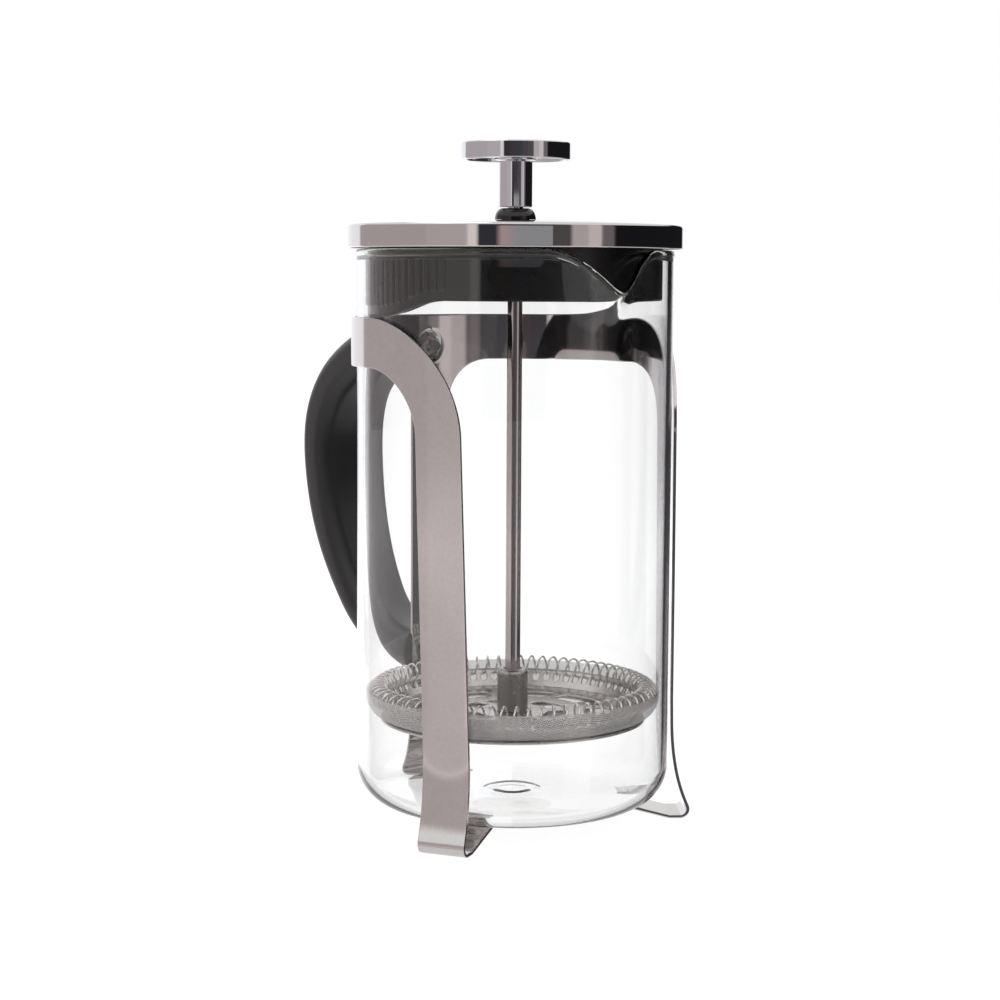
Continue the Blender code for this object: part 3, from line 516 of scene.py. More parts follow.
# %% [markdown]
# ## Glass
#
# Laboratory glass is clear and looks faintly green only along the wall, at the lip. An attribute of the
# mesh paints that tint, and a very weak large noise bends the normal, because a blown wall is never
# perfectly even.

# %% glass finish
def glass_finish():
    glass = Finish("borosilicate_glass", Roughness=0.0, IOR=1.47, Transmission_Weight=1.0)
    lip = glass.add("ShaderNodeAttribute", {"attribute_name": "lip"}, output="Fac")
    glass.set("Base Color", glass.mix(lip, (0.995, 0.998, 0.997), (0.80, 0.85, 0.75)))
    waves = glass.noise(glass.here(), 22.0, detail=1.0)
    glass.set("Normal", glass.bump(waves, 0.0001, 0.35))
    return glass


glass = glass_finish()

# %% [markdown]
# ## The beaker
#
# The beaker is blown into a mould and its spout is drawn out of the hot rim. The wall is a turned outline,
# and a rule moves its points: the nearer to the front and to the rim, the further out and down. The bottom
# has a shallow hollow and the ring that the mould leaves in its middle.

# %% beaker
BEAKER_WALL = 0.0018
BEAKER_BASE = 0.0024
BEAKER_CORNER = 0.0120
PUNT_RADIUS = 0.0300
PUNT_RISE = 0.0014
SPOUT_HALF_ANGLE = math.radians(23)
SPOUT_DEPTH = 0.0250
SPOUT_DROP = 0.0127
SPOUT_SOFTNESS = math.radians(3.2)
SPOUT_DROP_POWER = 2.3     # how steeply the lip falls towards the middle of the spout
SPOUT_REACH_POWER = 1.8    # and how steeply the wall comes forward
LIP_DEPTH = 1.6            # of the green tint at the lip, in thicknesses of the wall
BEAD_RADIUS = 0.0013       # of the fire-polished edge
MOULD_RING = 0.0070        # radius of the ring mark, and half its width
MOULD_RING_HALF = 0.0026
MOULD_RING_HEIGHT = 0.0002

beaker_radius = radius_of("beaker")
rim_height = top("beaker")
spout_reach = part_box("beaker")[1].x - AXIS.x - beaker_radius - (BEAD_RADIUS - BEAKER_WALL / 2)


def draw_spout(radius, angle, height):
    turn = (angle + math.pi) % (2 * math.pi) - math.pi
    softened = math.hypot(turn, SPOUT_SOFTNESS) - SPOUT_SOFTNESS
    pull = max(0.0, 1.0 - softened / SPOUT_HALF_ANGLE)
    share = max(0.0, (height - rim_height + SPOUT_DEPTH) / SPOUT_DEPTH)
    height -= SPOUT_DROP * pull ** SPOUT_DROP_POWER * share
    radius += spout_reach * (pull * share) ** SPOUT_REACH_POWER
    return round_place(radius, angle, height)


def make_beaker():
    outside = beaker_radius
    inside = outside - BEAKER_WALL
    floor = bottom("beaker")
    base = floor + BEAKER_BASE
    inner_corner = BEAKER_CORNER - BEAKER_WALL

    def punt(radius, level):
        """Height of the hollowed bottom at a radius, with the mould's ring on it."""
        bowl = level + PUNT_RISE * (1 - smooth_step(radius / PUNT_RADIUS))
        ring = 1 - abs(radius - MOULD_RING) / MOULD_RING_HALF
        return bowl + MOULD_RING_HEIGHT * smooth_step(ring)

    reach = steps_between(0, PUNT_RADIUS, 40)[:-1]
    neck = math.degrees(math.acos(BEAKER_WALL / 2 / BEAD_RADIUS))
    bead = arc((outside - BEAKER_WALL / 2, rim_height - BEAD_RADIUS), BEAD_RADIUS, -neck, 180 + neck, 18)
    wall = steps_between(rim_height - SPOUT_DEPTH, bead[0][1], 20)[:-1]
    outline = [(radius, punt(radius, floor)) for radius in reach]
    outline += [(PUNT_RADIUS, floor)]
    outline += arc((outside - BEAKER_CORNER, floor + BEAKER_CORNER), BEAKER_CORNER, -90, 0, 16)
    outline += [(outside, height) for height in wall]
    outline += bead
    outline += [(inside, height) for height in reversed(wall)]
    outline += arc((inside - inner_corner, base + inner_corner), inner_corner, 0, -90, 16)
    outline += [(PUNT_RADIUS, base)]
    outline += [(radius, punt(radius, base)) for radius in reversed(reach)]
    shape = turned(outline, 288, draw_spout)
    lip = shape.verts.layers.float.new("lip")
    for vertex in shape.verts:
        level = draw_spout(beaker_radius, math.atan2(vertex.co.y, vertex.co.x), rim_height).z
        vertex[lip] = smooth_step(1 - (level - vertex.co.z) / (LIP_DEPTH * BEAKER_WALL))
    make_piece("beaker_glass", shape, glass, "beaker", "beaker")


make_beaker()

# %% [markdown]
# ## Steel finishes
#
# All the steel is the same alloy, and only its surface differs: satin on the stamped strip's outside, a
# mirror inside and on the lid, chrome on the knob, drawn lines on the rod, rolled sheet in the filter. Fine
# bump gives a mirror the slight unevenness of real sheet.

# %% steel finishes
def strip_steel():
    """Satin outside with a cloudy bloom, near mirror inside."""
    steel = Finish("stamped_steel", Metallic=1.0)
    here = steel.here()
    clouds = steel.noise(here, 60.0, detail=5.0, roughness=0.6)
    grain = steel.noise(steel.scaled(here, (1.0, 1.0, 0.35)), 1500.0, detail=3.0)
    away = steel.add("ShaderNodeVectorMath", {"operation": "NORMALIZE"}, {0: steel.scaled(here, (1, 1, 0))})
    facing = steel.add("ShaderNodeNewGeometry", output="Normal")
    outside = steel.dot(away, facing) > 0.0
    peel = steel.noise(here, 900.0, detail=2.0)
    steel.set("Base Color", steel.mix(clouds * 0.6 + peel * 0.4, (0.54, 0.51, 0.505), (0.70, 0.67, 0.665)))
    rough = 0.055 + 0.06 * clouds + 0.02 * grain
    inner = 0.03 + 0.03 * clouds
    steel.set("Roughness", inner + (rough - inner) * outside)
    waves = steel.noise(here, 45.0, detail=1.0)
    height = grain * 0.004 + waves
    steel.set("Normal", steel.bump(height, 0.0002, 0.35))
    return steel


def turned_steel(name, dark, light, rough, lines, line_depth):
    """Bright steel with the fine rings that polishing on a lathe leaves."""
    steel = Finish(name, Metallic=1.0)
    here = steel.here()
    smudges = steel.noise(here, 90.0, detail=4.0, roughness=0.55)
    level = {0: steel.scaled(here, (1, 1, 0))}
    across = steel.add("ShaderNodeVectorMath", {"operation": "LENGTH"}, level, output=1)
    height = steel.dot(here, (0, 0, 1))
    ring_at = steel.add("ShaderNodeCombineXYZ", None, {0: across, 1: height})
    rings = steel.noise(ring_at, lines, detail=2.0)
    steel.set("Base Color", steel.mix(smudges, dark, light))
    steel.set("Roughness", rough + 0.03 * smudges)
    steel.set("Normal", steel.bump(rings, line_depth, 0.5))
    return steel


def drawn_steel(name, dark, light, rough):
    """Bright rod and wire, with lines along its length."""
    steel = Finish(name, Metallic=1.0)
    here = steel.here()
    lines = steel.noise(steel.scaled(here, (1.0, 1.0, 0.02)), 4000.0, detail=2.0)
    smudges = steel.noise(here, 120.0, detail=3.0)
    steel.set("Base Color", steel.mix(smudges, dark, light))
    steel.set("Roughness", rough + 0.03 * smudges + 0.02 * lines)
    steel.set("Normal", steel.bump(lines, 0.000001, 0.5))
    return steel


def sheet_steel():
    """Plain pressed sheet: rolled grain and small dents."""
    steel = Finish("pressed_filter_steel", Metallic=1.0)
    here = steel.here()
    clouds = steel.noise(here, 150.0, detail=4.0)
    grain = steel.noise(steel.scaled(here, (1.0, 0.1, 1.0)), 3000.0, detail=2.0)
    steel.set("Base Color", steel.mix(clouds, (0.55, 0.52, 0.50), (0.63, 0.60, 0.58)))
    steel.set("Roughness", 0.20 + 0.10 * clouds + 0.03 * grain)
    steel.set("Normal", steel.bump(clouds + grain * 0.02, 0.0001, 0.4))
    return steel


strip = strip_steel()
lid_steel = turned_steel("polished_lid_steel", (0.60, 0.57, 0.565), (0.64, 0.61, 0.60), 0.02, 2500.0, 8e-7)
chrome = turned_steel("knob_chrome", (0.66, 0.66, 0.69), (0.70, 0.70, 0.73), 0.015, 1500.0, 4e-7)
satin = turned_steel("satin_steel", (0.34, 0.32, 0.31), (0.42, 0.40, 0.385), 0.26, 2500.0, 2e-6)
bright = drawn_steel("bright_steel", (0.55, 0.52, 0.505), (0.62, 0.59, 0.575), 0.03)
spring = drawn_steel("spring_steel", (0.76, 0.73, 0.71), (0.84, 0.82, 0.80), 0.16)
sheet = sheet_steel()
finishes = (strip, lid_steel, chrome, satin, bright, spring, sheet)
print("steel finishes:", ", ".join(finish.material.name for finish in finishes))

# %% [markdown]
# ## The frame
#
# One strip of steel makes the whole frame. It is stamped flat like a comb with three teeth and rolled
# round, so that the top becomes a band, and its ends are folded in as feet that carry the glass. It is
# built the same way: rows of points across the strip, from a front foot up the leg, round the shoulder and
# along the band to the back, mirrored, with the rear leg hung from the middle. The dimples for the handle's
# screws are pressed by moving points outwards.

# %% frame sizes
STRIP_WIDTH = 0.0152
STRIP_THICKNESS = 0.0010
STRIP_EDGE = 0.00022       # rounding of its edges
GLASS_GAP = 0.0007         # between the glass and the strip round it
FRONT_LEG_ANGLE = math.radians(60)
FRONT_LEG_LEAN = 0.62      # radians further back round the glass for each metre up
FRONT_LEG_LEVEL = 0.0755   # where a front leg stands at its angle
SHOULDER_RADIUS = 0.0200
REAR_FILLET = 0.0150
FLARE_HEIGHT = 0.0300
FLARE_REACH = 0.0050
FLARE_POWER = 2.4          # how late the flare comes
FLAT_HEIGHT = 0.0160       # a leg is flat across up to here
CURVED_HEIGHT = FLARE_HEIGHT + 0.0080  # and fully curved round the glass from here up
FOOT_BEND = 0.0030
FOOT_FLAT = 0.0035
TAB_REACH = 0.0160
DIMPLE_RADIUS = 0.0058
DIMPLE_FLAT = 0.0036
DIMPLE_DEPTH = 0.0022
COLUMNS = 40
REAR_HALF_COLUMNS = 18

strip_outside = beaker_radius + GLASS_GAP + STRIP_THICKNESS
strip_radius = strip_outside - STRIP_THICKNESS / 2
band_top = top("frame")
band_base = band_top - STRIP_WIDTH
screw_heights = [(bottom(node) + top(node)) / 2 for node in ("handle_screw_upper", "handle_screw_lower")]
print(f"band from {band_base:.4f} to {band_top:.4f}")
print("screws at", [round(height, 4) for height in screw_heights])


# %% strip points
def foot_path():
    """The strip's middle line in (radius, height), from a tab's end out, round the fold and up the leg."""
    half = STRIP_THICKNESS / 2
    bend = FOOT_BEND - half
    lean = math.degrees(math.atan(FLARE_POWER * FLARE_REACH / (FLARE_HEIGHT - FOOT_BEND)))
    middle = strip_radius + FLARE_REACH - bend * math.cos(math.radians(lean))
    tab_end = Vector((beaker_radius - TAB_REACH, bottom("beaker") - GAP - half))
    fold_start = Vector((middle - FOOT_FLAT, half))
    path = [tuple(tab_end.lerp(fold_start, step / 8)) for step in range(8)]
    path += [(radius, half) for radius in steps_between(middle - FOOT_FLAT, middle, 3)[:-1]]
    path += arc((middle, half + bend), bend, -90, lean, 12)
    foot_top = path[-1][1]
    for share in steps_between(1, 0, 18)[1:]:
        height = FLARE_HEIGHT - (FLARE_HEIGHT - foot_top) * share
        path.append((strip_radius + FLARE_REACH * share ** FLARE_POWER, height))
    return path


def leg_point(angle, radius, height, across):
    """A point of a leg, curved round the glass above its flare and flat across at its foot."""
    turn = angle + across / strip_radius
    curved = round_place(radius, turn, height)
    out = Vector((math.cos(angle), math.sin(angle), 0))
    side = Vector((-math.sin(angle), math.cos(angle), 0))
    flat = out * radius + side * across + UP * height
    share = smooth_step((CURVED_HEIGHT - height) / (CURVED_HEIGHT - FLAT_HEIGHT))
    return curved.lerp(flat, share)


def band_point(run, height):
    """A point of the rolled strip, run metres round from the spout's side."""
    return round_place(strip_radius, run / strip_radius, height)


def press_dimples(point):
    """Presses the round seats of the handle's screws outwards, at the back."""
    if point.x < 0:
        for height in screw_heights:
            away = math.hypot(point.y, point.z - height)
            push = smooth_step((DIMPLE_RADIUS - away) / (DIMPLE_RADIUS - DIMPLE_FLAT))
            point = point - Vector((DIMPLE_DEPTH * push, 0, 0))
    return point


def leg_lean(height):
    """How much further back round the glass a front leg stands at a height."""
    return FRONT_LEG_LEAN * (height - FRONT_LEG_LEVEL)


def half_of_the_band():
    """Rows across the strip from one front tab, up the leg and along the band to the middle of the back."""
    half = STRIP_WIDTH / 2
    shares = steps_between(0, 1, COLUMNS)
    offsets = steps_between(-half, half, COLUMNS)
    turn_height = band_base - SHOULDER_RADIUS
    levels = foot_path()
    levels += [(strip_radius, height) for height in steps_between(CURVED_HEIGHT, turn_height, 44)[:-1]]
    rows = []
    for radius, height in levels:
        angle = FRONT_LEG_ANGLE + leg_lean(height)
        rows.append([leg_point(angle, radius, height, offset) for offset in offsets])
    centre_run = strip_radius * FRONT_LEG_ANGLE + half + SHOULDER_RADIUS
    reaches = steps_between(SHOULDER_RADIUS + STRIP_WIDTH, SHOULDER_RADIUS, COLUMNS)
    for angle in steps_between(math.pi, math.pi / 2, 28):
        row = []
        for reach in reaches:
            height = turn_height + reach * math.sin(angle)
            run = centre_run + reach * math.cos(angle) + strip_radius * leg_lean(height)
            row.append(band_point(run, height))
        rows.append(row)
    rear_run = strip_radius * math.pi
    fillet_run = rear_run - half - REAR_FILLET
    for step in range(1, 31):
        row = []
        for share in shares:
            height = band_top - STRIP_WIDTH * share
            start = centre_run + strip_radius * leg_lean(height)
            row.append(band_point(start + (fillet_run - start) * step / 30, height))
        rows.append(row)
    edge = arc((fillet_run, band_base - REAR_FILLET), REAR_FILLET, 90, 0, 16)[1:]
    rear_runs = steps_between(rear_run - half, rear_run, REAR_HALF_COLUMNS)[1:]
    edge += [(run, band_base - REAR_FILLET) for run in rear_runs]
    for run, base in edge:
        rows.append([band_point(run, band_top + (base - band_top) * share) for share in shares])
    return rows


# %% frame
def make_frame():
    rows = half_of_the_band()
    middle = len(rows) - 1
    rows += [[Vector((point.x, -point.y, point.z)) for point in row] for row in reversed(rows[:-1])]
    edge = [rows[middle + step][-1] for step in range(-REAR_HALF_COLUMNS, REAR_HALF_COLUMNS + 1)]
    levels = [(strip_radius, height) for height in steps_between(edge[0].z, CURVED_HEIGHT, 110)[1:]]
    levels += reversed(foot_path())
    offsets = steps_between(-STRIP_WIDTH / 2, STRIP_WIDTH / 2, 2 * REAR_HALF_COLUMNS)
    rear = [edge]
    rear += [[leg_point(math.pi, radius, height, offset) for offset in offsets] for radius, height in levels]
    shape, leg = [skin([[press_dimples(point) for point in row] for row in grid]) for grid in (rows, rear)]
    join(shape, leg)
    bmesh.ops.remove_doubles(shape, verts=shape.verts, dist=1e-6)
    bmesh.ops.recalc_face_normals(shape, faces=shape.faces)
    thing = make_piece("frame_strip", shape, strip, "frame_and_handle", "frame")
    thickened(thing, STRIP_THICKNESS)
    bevelled(thing, STRIP_EDGE)


make_frame()

# %% [markdown]
# ## Handle screws
#
# The handle is held by two pan-headed screws that go in from the glass side, each head down in its dimple.
# The head is turned, and its cross recess is cut by two Booleans, one for each wedge, because crossed
# cutters fail.

# %% screws
SCREW_HEAD_RADIUS = 0.00325
SCREW_HEAD_HEIGHT = 0.0016
SCREW_RADIUS = 0.0019


def lay_along_x(shape, start, height):
    """Lays a shape turned about Z along -X, starting at a distance from the axis."""
    place = Matrix.Translation((-start, 0, height)) @ Matrix.Rotation(math.radians(-90), 4, "Y")
    bmesh.ops.transform(shape, matrix=place, verts=shape.verts)
    return shape


def recess_wedge(start, height, turn):
    """One of the two tapering wedges whose cross is a screw's recess."""
    shape = bmesh.new()
    bmesh.ops.create_cube(shape, size=1.0)
    for vertex in shape.verts:
        deep = vertex.co.z > 0
        vertex.co.x *= 0.0026 if deep else 0.0044
        vertex.co.y *= 0.0008 if deep else 0.0012
        vertex.co.z = 0.0013 if deep else -0.0008
    bmesh.ops.transform(shape, matrix=Matrix.Rotation(turn, 4, "Z"), verts=shape.verts)
    return lay_along_x(shape, start, height)


def make_screw(node, turn):
    low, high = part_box(node)
    start = AXIS.x - high.x
    length = high.x - low.x
    radius = SCREW_HEAD_RADIUS
    under = SCREW_HEAD_HEIGHT
    corners = [(0, 0, 0), (radius * 0.72, 0.00005, 0.0012), (radius, 0.0007, 0.0003), (radius, under, 0.0001)]
    corners += [(SCREW_RADIUS, under, 0), (SCREW_RADIUS, length - 0.001, 0), (0, length, 0)]
    height = (low.z + high.z) / 2
    shape = lay_along_x(turned(filleted(corners), 64), start, height)
    screw = make_piece(node + "_head", shape, satin, "frame_and_handle", node)
    for wedge_turn in (turn, turn + math.radians(90)):
        cut_with(screw, recess_wedge(start, height, wedge_turn), node + "_recess")


make_screw("handle_screw_upper", 0.35)
make_screw("handle_screw_lower", 1.1)

# %% [markdown]
# ## Black plastic
#
# The handle, the lid's liner and the small bush are moulded in the same black plastic, from dies with
# different surfaces. One function makes all three from a grain size and a roughness.

# %% plastic finishes
def plastic(name, colour, rough, gloss, grain_scale, grain_depth):
    made = Finish(name, Specular_IOR_Level=gloss)
    here = made.here()
    grain = made.noise(here, grain_scale, detail=3.0)
    clouds = made.noise(here, 40.0, detail=3.0)
    lighter = tuple(value * 1.35 for value in colour)
    made.set("Base Color", made.mix(clouds, colour, lighter))
    made.set("Roughness", rough + 0.10 * clouds)
    made.set("Normal", made.bump(grain, grain_depth, 0.6))
    return made


handle_plastic = plastic("handle_plastic", (0.0066, 0.0060, 0.0068), 0.38, 0.45, 2600.0, 0.00004)
liner_plastic = plastic("liner_plastic", (0.0042, 0.0036, 0.0038), 0.22, 0.34, 1800.0, 0.000006)
bush_plastic = plastic("bush_plastic", (0.0060, 0.0058, 0.0060), 0.10, 0.50, 900.0, 0.000002)
print("plastics ready")

# %% [markdown]
# ## The handle
#
# The handle is a bow with a rounded rectangular section that swells a little in the grip. A smooth curve
# runs through a few listed stops, and at each station a section is set square to it. Its ends are cut
# to the round of the band, so that they sit on it like a saddle.

# %% handle
HANDLE_WIDTH = 0.0205
HANDLE_CORNER = 0.0056
GRIP_THICKNESS = 0.0162
END_THICKNESS = 0.0154
GRIP_DROP = 0.0379         # of the grip's outermost point below the upper screw
UPPER_END_RISE = 0.0010    # of the upper end's middle above that screw


def handle_stops():
    """Middle line of the handle as (distance from the axis, height, thickness), top end first."""
    back = AXIS.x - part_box("handle")[0].x - GRIP_THICKNESS / 2
    upper = screw_heights[0] + UPPER_END_RISE
    lower = screw_heights[1]
    grip = screw_heights[0] - GRIP_DROP
    reach = back - strip_outside
    rise = upper - grip
    drop = grip - lower
    shares = [
        (0.22, upper - rise * 0.01, END_THICKNESS),
        (0.52, upper - rise * 0.12, END_THICKNESS),
        (0.80, upper - rise * 0.36, GRIP_THICKNESS - 0.0004),
        (0.955, upper - rise * 0.66, GRIP_THICKNESS),
        (1.0, grip, GRIP_THICKNESS),
        (0.955, grip - drop * 0.26, GRIP_THICKNESS - 0.0004),
        (0.85, grip - drop * 0.49, 0.0150),
        (0.69, grip - drop * 0.70, 0.0136),
        (0.51, grip - drop * 0.86, 0.0130),
        (0.27, grip - drop * 0.96, 0.0132),
    ]
    stops = [(strip_outside + reach * share, height, thickness) for share, height, thickness in shares]
    start = strip_outside - 0.004
    return [(start, upper, END_THICKNESS)] + stops + [(start, lower, END_THICKNESS - 0.0004)]


def smooth_through(points, count):
    """Evenly stepped points on a smooth curve that passes through the given ones."""
    before_first = [2 * a - b for a, b in zip(points[0], points[1])]
    after_last = [2 * a - b for a, b in zip(points[-1], points[-2])]
    knots = [before_first] + [list(point) for point in points] + [after_last]
    spans = len(points) - 1
    curve = []
    for step in range(count + 1):
        at = min(spans * step / count, spans - 1e-9)
        t = at - int(at)
        around = knots[int(at):int(at) + 4]
        curve.append([
            0.5 * (2 * b + t * ((c - a) + t * ((2 * a - 5 * b + 4 * c - d) + t * (3 * b - a - 3 * c + d))))
            for a, b, c, d in zip(*around)
        ])
    return curve


def rounded_section(width, thickness, corner):
    """Points (across, through) round a rectangle with rounded corners."""
    points = []
    for quarter, (across, through) in enumerate([(1, 1), (-1, 1), (-1, -1), (1, -1)]):
        centre = (across * (width / 2 - corner), through * (thickness / 2 - corner))
        points += arc(centre, corner, 90 * quarter, 90 * quarter + 90, 8)
    return points


def make_handle():
    stations = 110
    route = smooth_through(handle_stops(), stations)
    rows = []
    for station, (distance, height, thickness) in enumerate(route):
        before = route[max(station - 1, 0)]
        after = route[min(station + 1, stations)]
        along = Vector((after[0] - before[0], after[1] - before[1])).normalized()
        outward = Vector((-along.y, along.x))
        rows.append([
            Vector((-distance - outward.x * through, across, height + outward.y * through))
            for across, through in rounded_section(HANDLE_WIDTH, thickness, HANDLE_CORNER)
        ])
    shape = skin(rows, close_columns=True)
    bmesh.ops.holes_fill(shape, edges=shape.edges, sides=0)
    bmesh.ops.recalc_face_normals(shape, faces=shape.faces)
    handle = make_piece("handle_bow", shape, handle_plastic, "frame_and_handle", "handle")
    saddle = strip_outside + GAP
    core = turned([(0, 0), (saddle, 0), (saddle, band_top + 0.02), (0, band_top + 0.02)], 180)
    cut_with(handle, core, "saddle")
    seats = bmesh.new()
    for height in screw_heights:
        depth = DIMPLE_DEPTH + GAP
        outline = [(0, -0.004), (DIMPLE_RADIUS + GAP, -0.004), (DIMPLE_RADIUS + GAP, depth), (0, depth)]
        join(seats, lay_along_x(turned(outline, 48), strip_outside, height))
    cut_with(handle, seats, "screw_seats")


make_handle()

# %% [markdown]
# ## The lid's shell
#
# The shell is a disc of mirror-polished steel with its edge turned down into a narrow straight band. The
# band is a true cylinder, so it mirrors the studio's panels as upright bars, and only the small radius
# above it gathers the light from overhead.

# %% lid shell
LID_SHEET = 0.0007
LID_CROWN = 0.0016
LID_EDGE_RADIUS = 0.0009
LID_DOME_END = 0.0016      # inside the lid's edge
LID_HOLE = 0.0048

lid_radius = radius_of("lid_shell")
lid_base = bottom("lid_shell")
lid_top = top("lid_shell")


def crown(radius):
    """Height of the lid's shallow dome at a radius."""
    return lid_top - LID_CROWN * (radius / lid_radius) ** 2


def make_lid_shell():
    inner = lid_radius - LID_SHEET
    dome = steps_between(LID_HOLE, lid_radius - LID_DOME_END, 24)
    corner = (lid_radius - LID_EDGE_RADIUS, crown(dome[-1]) - LID_EDGE_RADIUS)
    outline = [(lid_radius - LID_SHEET * 0.3, lid_base), (lid_radius, lid_base + 0.0002)]
    outline += [(lid_radius, lid_base + 0.0005), (lid_radius, corner[1] - 0.0003)]
    outline += arc(corner, LID_EDGE_RADIUS, 0, 84, 8)
    outline += [(radius, crown(radius)) for radius in reversed(dome)]
    outline += [(radius, crown(radius) - LID_SHEET) for radius in dome]
    outline += [(inner, lid_top - LID_CROWN - 0.0012), (inner, lid_base)]
    shape = turned(outline, 256)
    shell = make_piece("lid_cap", shape, lid_steel, "lid", "lid_shell", smooth=60)
    keep_flats(shell)


make_lid_shell()

# %% [markdown]
# ## The lid's liner
#
# The liner's skirt goes down into the glass, and one side of it is deeper and ribbed, so that turning the
# lid closes the spout. A rule like the spout's makes both: a point's radius grows where a rib stands, and
# the lower edge follows the depth of the skirt.

# %% lid liner
LINER_WALL = 0.0020
LINER_DISC = 0.0017
LINER_EDGE = 0.0003        # chamfer of the skirt's lower edge
LINER_CLEARANCE = 0.0017   # between the skirt and the glass
LINER_SKIRT = 0.0163
LINER_DEEP = 0.0051
DEEP_CENTRE = math.radians(-125.4)
DEEP_FLAT = math.radians(30)
DEEP_END = math.radians(64)
BOSS_RADIUS = 0.0100
RIB_PITCH = math.radians(3.5)
RIB_COUNT = 37
RIB_HEIGHT = 0.0006
RIB_TOP = 0.0033           # below the liner's flange
RIB_FOOT = 0.0030          # above the skirt's lower edge
RIB_SLOPE = 0.0006         # height over which a rib's ends rise

boss_top = top("lid_liner")
flange_base = lid_base + GAP
liner_radius = beaker_radius - BEAKER_WALL - LINER_CLEARANCE


def off_centre(angle):
    """Angle from the middle of the deep side, between -pi and pi."""
    return (angle - DEEP_CENTRE + math.pi) % (2 * math.pi) - math.pi


def skirt_depth(angle):
    share = min(1.0, max(0.0, (abs(off_centre(angle)) - DEEP_FLAT) / (DEEP_END - DEEP_FLAT)))
    return LINER_SKIRT + LINER_DEEP * (1 + math.cos(math.pi * share)) / 2


def rib_profile(angle):
    """How far a rib stands out at an angle, from 0 to 1."""
    turn = off_centre(angle)
    if abs(turn) > RIB_PITCH * RIB_COUNT / 2:
        return 0.0
    phase = (turn / RIB_PITCH + RIB_COUNT / 2) % 1.0
    return smooth_step((0.33 - abs(phase - 0.5)) / 0.08)


def liner_place(radius, angle, height):
    """Stretches the skirt to its depth, and raises the ribs on its outside."""
    if height < flange_base - 1e-6:
        depth = skirt_depth(angle)
        share = (flange_base - height) / LINER_SKIRT
        height = flange_base - share * depth
        if radius > liner_radius - 1e-6:
            inside_rib = smooth_step((flange_base - height - RIB_TOP) / RIB_SLOPE)
            above_foot = smooth_step((height - flange_base + depth - RIB_FOOT) / RIB_SLOPE)
            radius += RIB_HEIGHT * rib_profile(angle) * inside_rib * above_foot
    return round_place(radius, angle, height)


def make_liner():
    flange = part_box("lid_liner")[1].y
    inside = liner_radius - LINER_WALL
    disc_top = flange_base + LINER_DISC
    lower = flange_base - LINER_SKIRT
    skirt = steps_between(lower + LINER_EDGE, flange_base, 48)
    outline = [(inside, lower + LINER_EDGE), (inside + LINER_EDGE, lower), (liner_radius - LINER_EDGE, lower)]
    outline += [(liner_radius, height) for height in skirt]
    outline += [(flange, flange_base), (flange, disc_top), (BOSS_RADIUS, disc_top), (BOSS_RADIUS, boss_top)]
    outline += [(LID_HOLE, boss_top), (LID_HOLE, flange_base), (inside, flange_base)]
    shape = turned(outline, 1080, liner_place)
    make_piece("lid_lining", shape, liner_plastic, "lid", "lid_liner", smooth=50)


make_liner()

# %% [markdown]
# ## Bush, knob and rod
#
# These are all lathe work, so they are turned outlines with fillets. The knob's underside has a ring-shaped
# recess, which catches light from the lid below it.

# %% bush
ROD_BORE = 0.0027          # of the pieces that the rod passes through or ends in
SPIGOT_RADIUS = 0.0030     # of the stem's upper end, in the knob's socket
STUD_HOLE = 0.0023         # of the pieces that the filter's stud passes through
DOME_FLAT = 0.0042         # radius at which the bush's dome levels out


def make_bush():
    low, high = bottom("rod_bush"), top("rod_bush")
    shank = 0.0045
    base = lid_top + GAP
    wide = radius_of("rod_bush")
    outline = [(ROD_BORE, low), (shank, low), (shank, base), (wide, base)]
    for across, up in arc((0, 0), 1, 0, 90, 12)[1:]:
        outline.append((DOME_FLAT + (wide - DOME_FLAT) * across, base + (high - base) * up))
    outline += [(ROD_BORE + 0.0004, high), (ROD_BORE, high - 0.0004)]
    make_piece("bush_dome", turned(outline), bush_plastic, "bush", "rod_bush")
    nut_low, nut_high = bottom("bush_nut"), top("bush_nut")
    wide = radius_of("bush_nut")
    bore = shank + GAP
    corners = [(bore, nut_low, 0), (wide, nut_low, 0.0005), (wide, nut_high, 0), (bore, nut_high, 0)]
    make_piece("bush_ring_nut", turned(filleted(corners)), liner_plastic, "bush", "bush_nut")


make_bush()


# %% knob and stem
def make_knob():
    wide = radius_of("knob_cap")
    base = bottom("knob_cap")
    high = top("knob_cap")
    stem = radius_of("knob_stem")
    recess_in = stem + 0.0012
    recess_out = wide - 0.0018
    recess = 0.0016
    socket = SPIGOT_RADIUS + GAP
    corners = [(0, high, 0), (wide, high, 0.0005), (wide, base, 0.0005), (recess_out, base, 0.0003)]
    corners += [(recess_out, base + recess, 0.0005), (recess_in, base + recess, 0.0005)]
    corners += [(recess_in, base, 0.0002)]
    corners += [(socket, base, 0), (socket, base + 0.0028, 0), (0, base + 0.0028, 0)]
    cap = make_piece("knob_disc", turned(filleted(corners), 192), chrome, "knob", "knob_cap")
    keep_flats(cap)
    low = bottom("knob_stem")
    shoulder = base - GAP
    spigot = top("knob_stem")
    bore_end = top("rod") + GAP
    corners = [(ROD_BORE, low, 0), (stem, low, 0.0004), (stem, shoulder, 0.0001)]
    corners += [(SPIGOT_RADIUS, shoulder, 0), (SPIGOT_RADIUS, spigot, 0), (0, spigot, 0)]
    corners += [(0, bore_end, 0), (ROD_BORE, bore_end, 0)]
    foot = make_piece("knob_stalk", turned(filleted(corners)), chrome, "knob", "knob_stem")
    keep_flats(foot)


make_knob()


